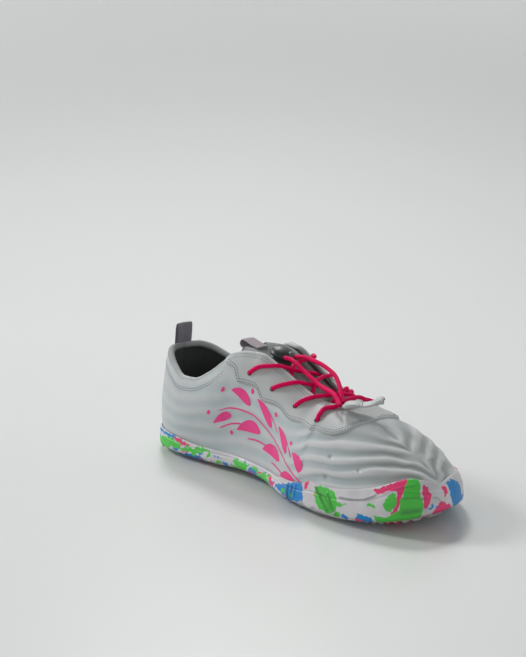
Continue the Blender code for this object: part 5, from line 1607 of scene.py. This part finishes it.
# Grooves and creases of the medial wall: line as base and height in mm, half width, depth in mm
WALL_LINES = (
    (((0.905, 15.2), (0.955, 15.0)), 0.7, 0.9),
    (((0.905, 22.5), (0.930, 23.0), (0.950, 22.0)), 0.5, 0.4),
    (((0.704, 18.5), (0.722, 13.0), (0.742, 6.5)), 0.7, 0.9),
    (((0.738, 17.0), (0.748, 12.5), (0.762, 6.0)), 0.6, 0.8),
    (((0.712, 16.5), (0.735, 14.0), (0.752, 8.0)), 0.5, 0.6),
    (((0.612, 12.5), (0.614, 5.5)), 0.6, 0.9),
    (((0.626, 13.5), (0.625, 5.5)), 0.6, 0.7),
    (((0.640, 15.0), (0.638, 8.0)), 0.5, 0.5),
    (((0.770, 17.0), (0.800, 17.6), (0.828, 19.2), (0.850, 22.5)), 0.6, 0.6),
    (((0.690, 4.5), (0.705, 6.0)), 0.5, 0.5),
    (((0.660, 6.0), (0.690, 3.8), (0.720, 3.6)), 0.6, 0.6),
    (((0.865, 24.0), (0.900, 28.0), (0.925, 29.0)), 0.45, 0.35),
    (((0.955, 12.0), (0.985, 13.0), (1.000, 12.0)), 0.6, 0.6),
    (((0.965, 22.0), (0.980, 21.0), (0.990, 17.0)), 0.45, 0.4),
)


def knobs(base, height):
    """Depth in mm of the notches along the wall's foot, from the heel to the ball."""
    beat = 0.5 + 0.5 * np.sin(base * 250.0 + 1.7 * np.sin(base * 61.0))
    low = 1 - ease((height - 3.5) / 3.0)
    return 0.9 * beat**2 * low * ease((base - 0.02) / 0.04) * (1 - ease((base - 0.66) / 0.08))


def segment_distance(points, a, b):
    edge = b - a
    t = np.clip(((points - a) @ edge) / (edge @ edge), 0, 1)
    return np.linalg.norm(points - a - t[..., None] * edge, axis=-1)


def polygon_field(points, corners):
    """Distance into a polygon, negative outside, in the unit of its corners."""
    corners = np.asarray(corners, float)
    best = np.full(points.shape[:-1], 1e9)
    inside = np.zeros(points.shape[:-1], bool)
    for a, b in zip(corners, np.roll(corners, -1, axis=0)):
        best = np.minimum(best, segment_distance(points, a, b))
        crosses = (a[1] > points[..., 1]) != (b[1] > points[..., 1])
        rise = b[1] - a[1] if abs(b[1] - a[1]) > 1e-9 else 1e-9
        x = (b[0] - a[0]) * (points[..., 1] - a[1]) / rise + a[0]
        inside ^= crosses & (points[..., 0] < x)
    return np.where(inside, best, -best)


def wall_coordinates(base, z):
    return np.stack([base * OUTLINE_MM, z * 1000], axis=-1)


def patch_set():
    """Blocky patches of colour in the rubber, the same each run."""
    pick = np.random.default_rng(11)
    made = []
    for name, count in (("blue", 30), ("pink", 34), ("green", 46)):
        for _ in range(count):
            middle = np.array([pick.uniform(-5, 267), pick.uniform(-52, 52), pick.uniform(-2, 26)])
            turn = pick.uniform(0, math.pi)
            half = np.array([pick.uniform(4, 15), pick.uniform(3, 8), pick.uniform(5, 14)])
            made.append((name, middle, turn, half, pick.uniform(-0.6, 0.6)))
    return made


PATCHES = patch_set()


def marble(points):
    """Distances in mm into the patches of each colour, at places in shoe axes."""
    p = np.asarray(points, float) * 1000
    x, y, z = p[..., 0], p[..., 1], p[..., 2]
    bend_x = 1.6 * np.sin(y * 0.31 + z * 0.22) + 0.7 * np.sin(y * 0.9 + 1.0)
    bend_y = 1.6 * np.sin(x * 0.27 + 0.8) + 0.7 * np.sin(x * 0.83)
    p = p + np.stack([bend_x, bend_y, 0.8 * np.sin(x * 0.35 + y * 0.3)], axis=-1)
    fields = {name: np.full(p.shape[:-1], -20.0) for name in ("green", "pink", "blue")}
    for name, middle, turn, half, skew in PATCHES:
        q = p - middle
        c, s = math.cos(turn), math.sin(turn)
        x = q[..., 0] * c + q[..., 1] * s
        y = -q[..., 0] * s + q[..., 1] * c + x * skew * 0.3
        over = np.stack([np.abs(x) - half[0], np.abs(y) - half[1], np.abs(q[..., 2]) - half[2]], axis=-1)
        outside = np.linalg.norm(np.maximum(over, 0), axis=-1)
        depth = -np.minimum(over.max(axis=-1), 0)
        fields[name] = np.maximum(fields[name], np.where(outside > 0, -outside, depth))
    return fields


def chips():
    """Small chips of colour on the wall, thickest from the heel to the middle of the
    foot: colour, corners as base and height in mm."""
    pick = np.random.default_rng(5)
    made = []
    for name in ("green", "pink", "blue", "green", "blue"):
        for count, low, high, top, size in ((16, 0.03, 0.56, 11.0, 1.0), (5, 0.56, 0.98, 20.0, 0.8)):
            for _ in range(count):
                at = np.array([pick.uniform(low, high), pick.uniform(0.5, top)])
                turn = np.sort(pick.uniform(0, 2 * math.pi, 6))
                reach = pick.uniform(0.8, 2.9, 6) * size
                flat = np.cos(turn) * reach * 2 / (OUTLINE_MM)
                made.append((name, at + np.stack([flat, np.sin(turn) * reach], axis=1)))
    return made


def wall_marble(points, base, side):
    """Marbling of the wall: set one by one on the medial side and round the toe's and the
    heel's ends, with the tread's patches on the lateral side."""
    loose = marble(points)
    flat = wall_coordinates(base, points[..., 2])
    if side > 0:
        wide = OUTLINE_MM
        flat[..., 0] = np.where(base > 0.5, 2 * wide - flat[..., 0], -flat[..., 0])
    fields = {}
    for name in loose:
        own = np.full(flat.shape[:-1], -20.0)
        shapes = [c for n, c in CHIPS if n == name and side < 0] + list(MARBLE_WALL[name])
        for corners in shapes:
            corners = [(a * OUTLINE_MM, b) for a, b in corners]
            own = np.maximum(own, polygon_field(flat, corners))
        if side > 0:
            away = np.minimum(base, 1 - base) * OUTLINE_MM
            own = np.maximum(own, loose[name] - np.clip(14.0 - away, 0, 14.0))
        fields[name] = own
    return fields


CHIPS = chips()


# Section of the sole, as shares of its rounded edge: under the sole, then round the edge
# inward and up, then shares of the wall's height with its crease, then over its lip
SOLE_UNDER = (2.64, 1.68, 1.2)
SOLE_TURN = ((0.62, 0.07), (0.35, 0.25), (0.13, 0.48), (0.0, 0.75))
SOLE_OUTER = ((0.30, 0), (0.40, 0), (0.50, 0), (0.56, 0.0004), (0.62, 0), (0.74, 0), (0.86, 0), (0.95, 0))
SOLE_LIP = ((0.95, 0.0004), (0.55, 0.0), (0.15, 0.0002), (0.0, 0.0008))


def sole_profile(side, bases):
    """Rows of points round the sole's section, from under the middle to its inner floor."""
    edge, out = outline(side, bases)
    flat = np.concatenate([out, np.zeros((len(bases), 1))], axis=1)
    under = ground(edge[:, 0]) + LUG_HEIGHT
    height = table(SOLE_SIDE, 1 if side < 0 else 2, bases)
    seat_top = rib_share_at(side, bases, height)

    def at(inset, z):
        return np.concatenate([edge - out * inset, z[:, None]], axis=1)

    def outer(level, sink=0.0):
        wall = SOLE_WALL - SEAT_GAP + (SOLE_RIM - SOLE_WALL + SEAT_GAP) * level
        return offset_surface(side, bases, seat_top * level, SEAT_GAP + wall - sink)

    rows = []
    for share in SOLE_UNDER:
        inset = SOLE_EDGE_ROUND * share
        rows.append(at(inset, ground((edge - out * inset)[:, 0]) + LUG_HEIGHT))
    rows += [at(SOLE_EDGE_ROUND * k, under + SOLE_EDGE_ROUND * up) for k, up in SOLE_TURN]
    rows += [outer(level, sink) for level, sink in SOLE_OUTER]
    seat = offset_surface(side, bases, seat_top, SEAT_GAP)
    rows += [seat + flat * SOLE_RIM * k - np.array([0, 0, drop]) for k, drop in SOLE_LIP]
    return np.stack(rows, axis=1)


def make_sole_wall():
    bases = np.linspace(0, 1, 561)
    parts = Parts()
    for side in (-1, 1):
        coarse = sole_profile(side, bases)
        block = np.stack([smooth_path(row, 3) for row in coarse])
        grid_base = np.broadcast_to(bases[:, None], block.shape[:2])
        normal = unit(np.cross(np.gradient(block, axis=0), np.gradient(block, axis=1))) * side
        flat = wall_coordinates(grid_base, block[..., 2])
        sink = np.zeros(flat.shape[:2])
        for line, half, depth in WALL_LINES if side < 0 else ():
            line = [(a * OUTLINE_MM, b) for a, b in line]
            line = smooth_path(line, 6) if len(line) > 2 else np.array(line)
            near = np.full(flat.shape[:2], 1e9)
            for a, b in zip(line[:-1], line[1:]):
                near = np.minimum(near, segment_distance(flat, a, b))
            sink = np.maximum(sink, depth * (1 - ease(near / (half * 2))))
        foot = np.where(np.arange(flat.shape[1]) > 12, 1.0, 0.0)[None, :]
        sink = np.maximum(sink, knobs(grid_base, flat[..., 1]) * foot)
        block = block - normal * (sink * 0.001)[..., None]
        fields = wall_marble(block, grid_base, side)
        # Painted shade in the grooves, creases and notches, by their depth.
        parts.add_grid(block, None, flip=side > 0, shade=np.clip(sink * 0.9, 0, 0.55), **fields)
    return parts.piece("sole_wall", RUBBER, "sole_rubber", merge=1e-6)


def smooth_min(distance, width):
    return ease(0.5 - distance / width)


# Inner and outer radius in mm, number of lugs, turn in degrees, gap in mm
HEEL_RINGS = (
    (6.0, 9.6, 2, 40, 3.0), (11.2, 15.0, 5, 8, 1.8), (16.6, 20.4, 6, 30, 1.8), (22.0, 26.0, 8, 12, 1.8),
    (27.6, 31.5, 8, 34, 1.8),
)
# Share of the length, share of the ball's width, length and width in mm, turn in degrees
TOE_PADS = (
    (0.935, -0.080, 30, 15, 4), (0.905, 0.095, 28, 15, -4), (0.858, 0.255, 26, 14, -12),
    (0.90, -0.310, 40, 21, 10),
)


def tread_height(x, y):
    """How far each place of the tread stands proud: 1 on a lug's face, 0 between lugs."""
    mm_x, mm_y = x * 1000, y * 1000
    length, width, heel_width = SHOE_LENGTH * 1000, BALL_WIDTH * 1000, HEEL_WIDTH * 1000
    made = np.zeros_like(mm_x)

    def put(distance, level=1.0):
        nonlocal made
        made = np.maximum(made, smooth_min(distance, 0.9) * level)

    def cut(distance, level=0.0):
        nonlocal made
        made = np.minimum(made, np.maximum(1 - smooth_min(distance, 0.9), level))

    def polar(cx, cy):
        return np.hypot(mm_x - cx, mm_y - cy), np.degrees(np.arctan2(mm_y - cy, mm_x - cx)) % 360

    def box(cx, cy, a, b, turn, corner=0.6):
        c, s = math.cos(math.radians(turn)), math.sin(math.radians(turn))
        u = (mm_x - cx) * c + (mm_y - cy) * s
        v = -(mm_x - cx) * s + (mm_y - cy) * c
        over = np.stack([np.abs(u) - a / 2 + corner, np.abs(v) - b / 2 + corner])
        return np.linalg.norm(np.maximum(over, 0), axis=0) + np.minimum(over.max(axis=0), 0) - corner

    def arcs(cx, cy, inner, outer, count, turn, gap):
        far, angle = polar(cx, cy)
        ring = np.maximum(inner - far, far - outer)
        step = 360 / count
        local = (angle - turn) % step
        side = np.radians(np.minimum(local, step - local)) * far - gap / 2
        put(np.maximum(ring, -side))

    inner_pod = (0.664 * length, -0.270 * width)
    outer_pod = (0.577 * length, 0.248 * width)
    heel = (0.112 * length, 0.0)
    for (cx, cy), turn in ((inner_pod, 20), (outer_pod, -25)):
        far = polar(cx, cy)[0]
        put(far - 7.4)
        for k in (-1, 1):
            cut(box(cx + 2.4 * k, cy + 0.8 * k, 3.0, 8.0, 25, 1.4), 0.35)
        put(np.maximum(9.2 - far, far - 13.2))
        arcs(cx, cy, 14.6, 18.6, 4, turn, 1.6)
        arcs(cx, cy, 20.0, 23.8, 8, turn + 12, 1.5)
    put(polar(*heel)[0] - 4.2)
    for ring in HEEL_RINGS:
        arcs(*heel, *ring)
    for k in range(9):
        put(box((0.268 + 0.0235 * k) * length, 0.27 * heel_width, 3.4, 13.0, 0))
    put(np.abs(box(0.365 * length, 0.27 * heel_width, 60.0, 18.0, 2, 8.0)) - 0.8)
    for i in range(8):
        for j in range(4):
            px = (0.262 + 0.030 * i + 0.010 * j) * length
            py = (-0.30 + 0.118 * j) * heel_width
            put(np.abs(mm_x - px) * 0.9 + np.abs(mm_y - py) - 2.9)
    for k in range(4):
        cx, cy = (0.800 - 0.012 * k) * length, (-0.16 + 0.125 * k) * width
        put(np.maximum(np.abs(mm_x - cx), np.abs(mm_x - cx) / 2 + np.abs(mm_y - cy) * 0.866) - 2.8)
    for along, across, a, b, turn in TOE_PADS:
        d = box(along * length, across * width, a, b, turn, 5.0)
        c, s = math.cos(math.radians(turn)), math.sin(math.radians(turn))
        u = (mm_x - along * length) * c + (mm_y - across * width) * s
        ribs = np.abs((u / 4.6) % 1.0 - 0.5) * 4.6 - 1.35
        put(np.maximum(d, ribs))
        put(d, 0.45)
    put(box(0.775 * length, 0.385 * width, 34, 12, -22, 4.0))
    for k in range(3):
        cut(box((0.745 + 0.03 * k) * length, (0.40 - 0.012 * k) * width, 1.4, 9.0, -22), 0.3)
    far, angle = polar(0.70 * length, 0.10 * width)
    for middle, half, reach in ((19.0, 1.8, 6.5), (14.0, 1.6, 6.0)):
        put(np.maximum(np.abs(far - middle) - half, np.abs((angle + 180) % 360 - 180) / 6 - reach))
    put(box(0.475 * length, -0.10 * width, 22, 7, 20, 3.0))
    put(box(0.500 * length, 0.02 * width, 20, 5, 16, 2.0))
    return made


def inside_plan(x, y):
    """Distance in metres inside the sole's outline, negative outside."""
    ring = np.concatenate([HALVES[-1][0], HALVES[1][0][::-1]])[::3]
    return polygon_field(np.stack([x, y], axis=-1), ring)


# How far inside the outline the tread's plate ends, hidden in the wall's lower edge
TREAD_BORDER = 0.0044
TREAD_LIFT = 0.0003
TREAD_STEP = 0.00058
# The ground between the lugs lies this much inside the wall's underside
TREAD_SINK = 0.00012


def make_tread():
    x = np.arange(0.0, SHOE_LENGTH + TREAD_STEP, TREAD_STEP)
    grid_x, grid_y = np.meshgrid(x, np.arange(-0.055, 0.055, TREAD_STEP), indexing="ij")
    inside = inside_plan(grid_x, grid_y)
    proud = tread_height(grid_x, grid_y) * ease((inside - 0.0068) / 0.0026)
    z = ground(grid_x) + (LUG_HEIGHT + TREAD_SINK) * (1 - proud)
    z = z + TREAD_LIFT * (1 - ease((inside - TREAD_BORDER) / 0.0012))
    block = np.stack([grid_x, grid_y, z], axis=-1)
    faces = grid_faces(*block.shape[:2])
    ok = (inside > TREAD_BORDER).ravel()
    faces = faces[ok[faces].all(axis=1)]
    used = np.unique(faces)
    index = np.full(block.shape[0] * block.shape[1], -1)
    index[used] = np.arange(len(used))
    fields = marble(block)
    # Painted shade between the lugs.
    fields["shade"] = np.clip(1 - proud, 0, 1) * 0.28
    fields = {key: values.ravel()[used] for key, values in fields.items()}
    points = block.reshape(-1, 3)[used]
    new_piece("sole_tread", points, index[faces][:, ::-1], RUBBER, None, fields)


def make_sole_floor():
    """The sole's inner floor, under the insole."""
    bases = np.linspace(0, 1, 121)
    parts = Parts()
    for side in (-1, 1):
        edge, _ = outline(side, bases, SOLE_WALL + 0.0004)
        other, _ = outline(-side, bases, SOLE_WALL + 0.0004)
        middle = (edge + other) / 2
        plan = np.stack([edge, (edge + middle) / 2, middle], axis=1)
        block = np.concatenate([plan, bed(plan[..., 0])[..., None]], axis=-1)
        # Painted shade under the insole.
        parts.add_grid(block, None, flip=side < 0, shade=np.full(block.shape[:2], 0.3), **marble(block))
    parts.piece("sole_inner_floor", RUBBER, "sole_rubber", merge=1e-6)


sole_wall = make_sole_wall()
make_tread()
make_sole_floor()
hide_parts("sole")
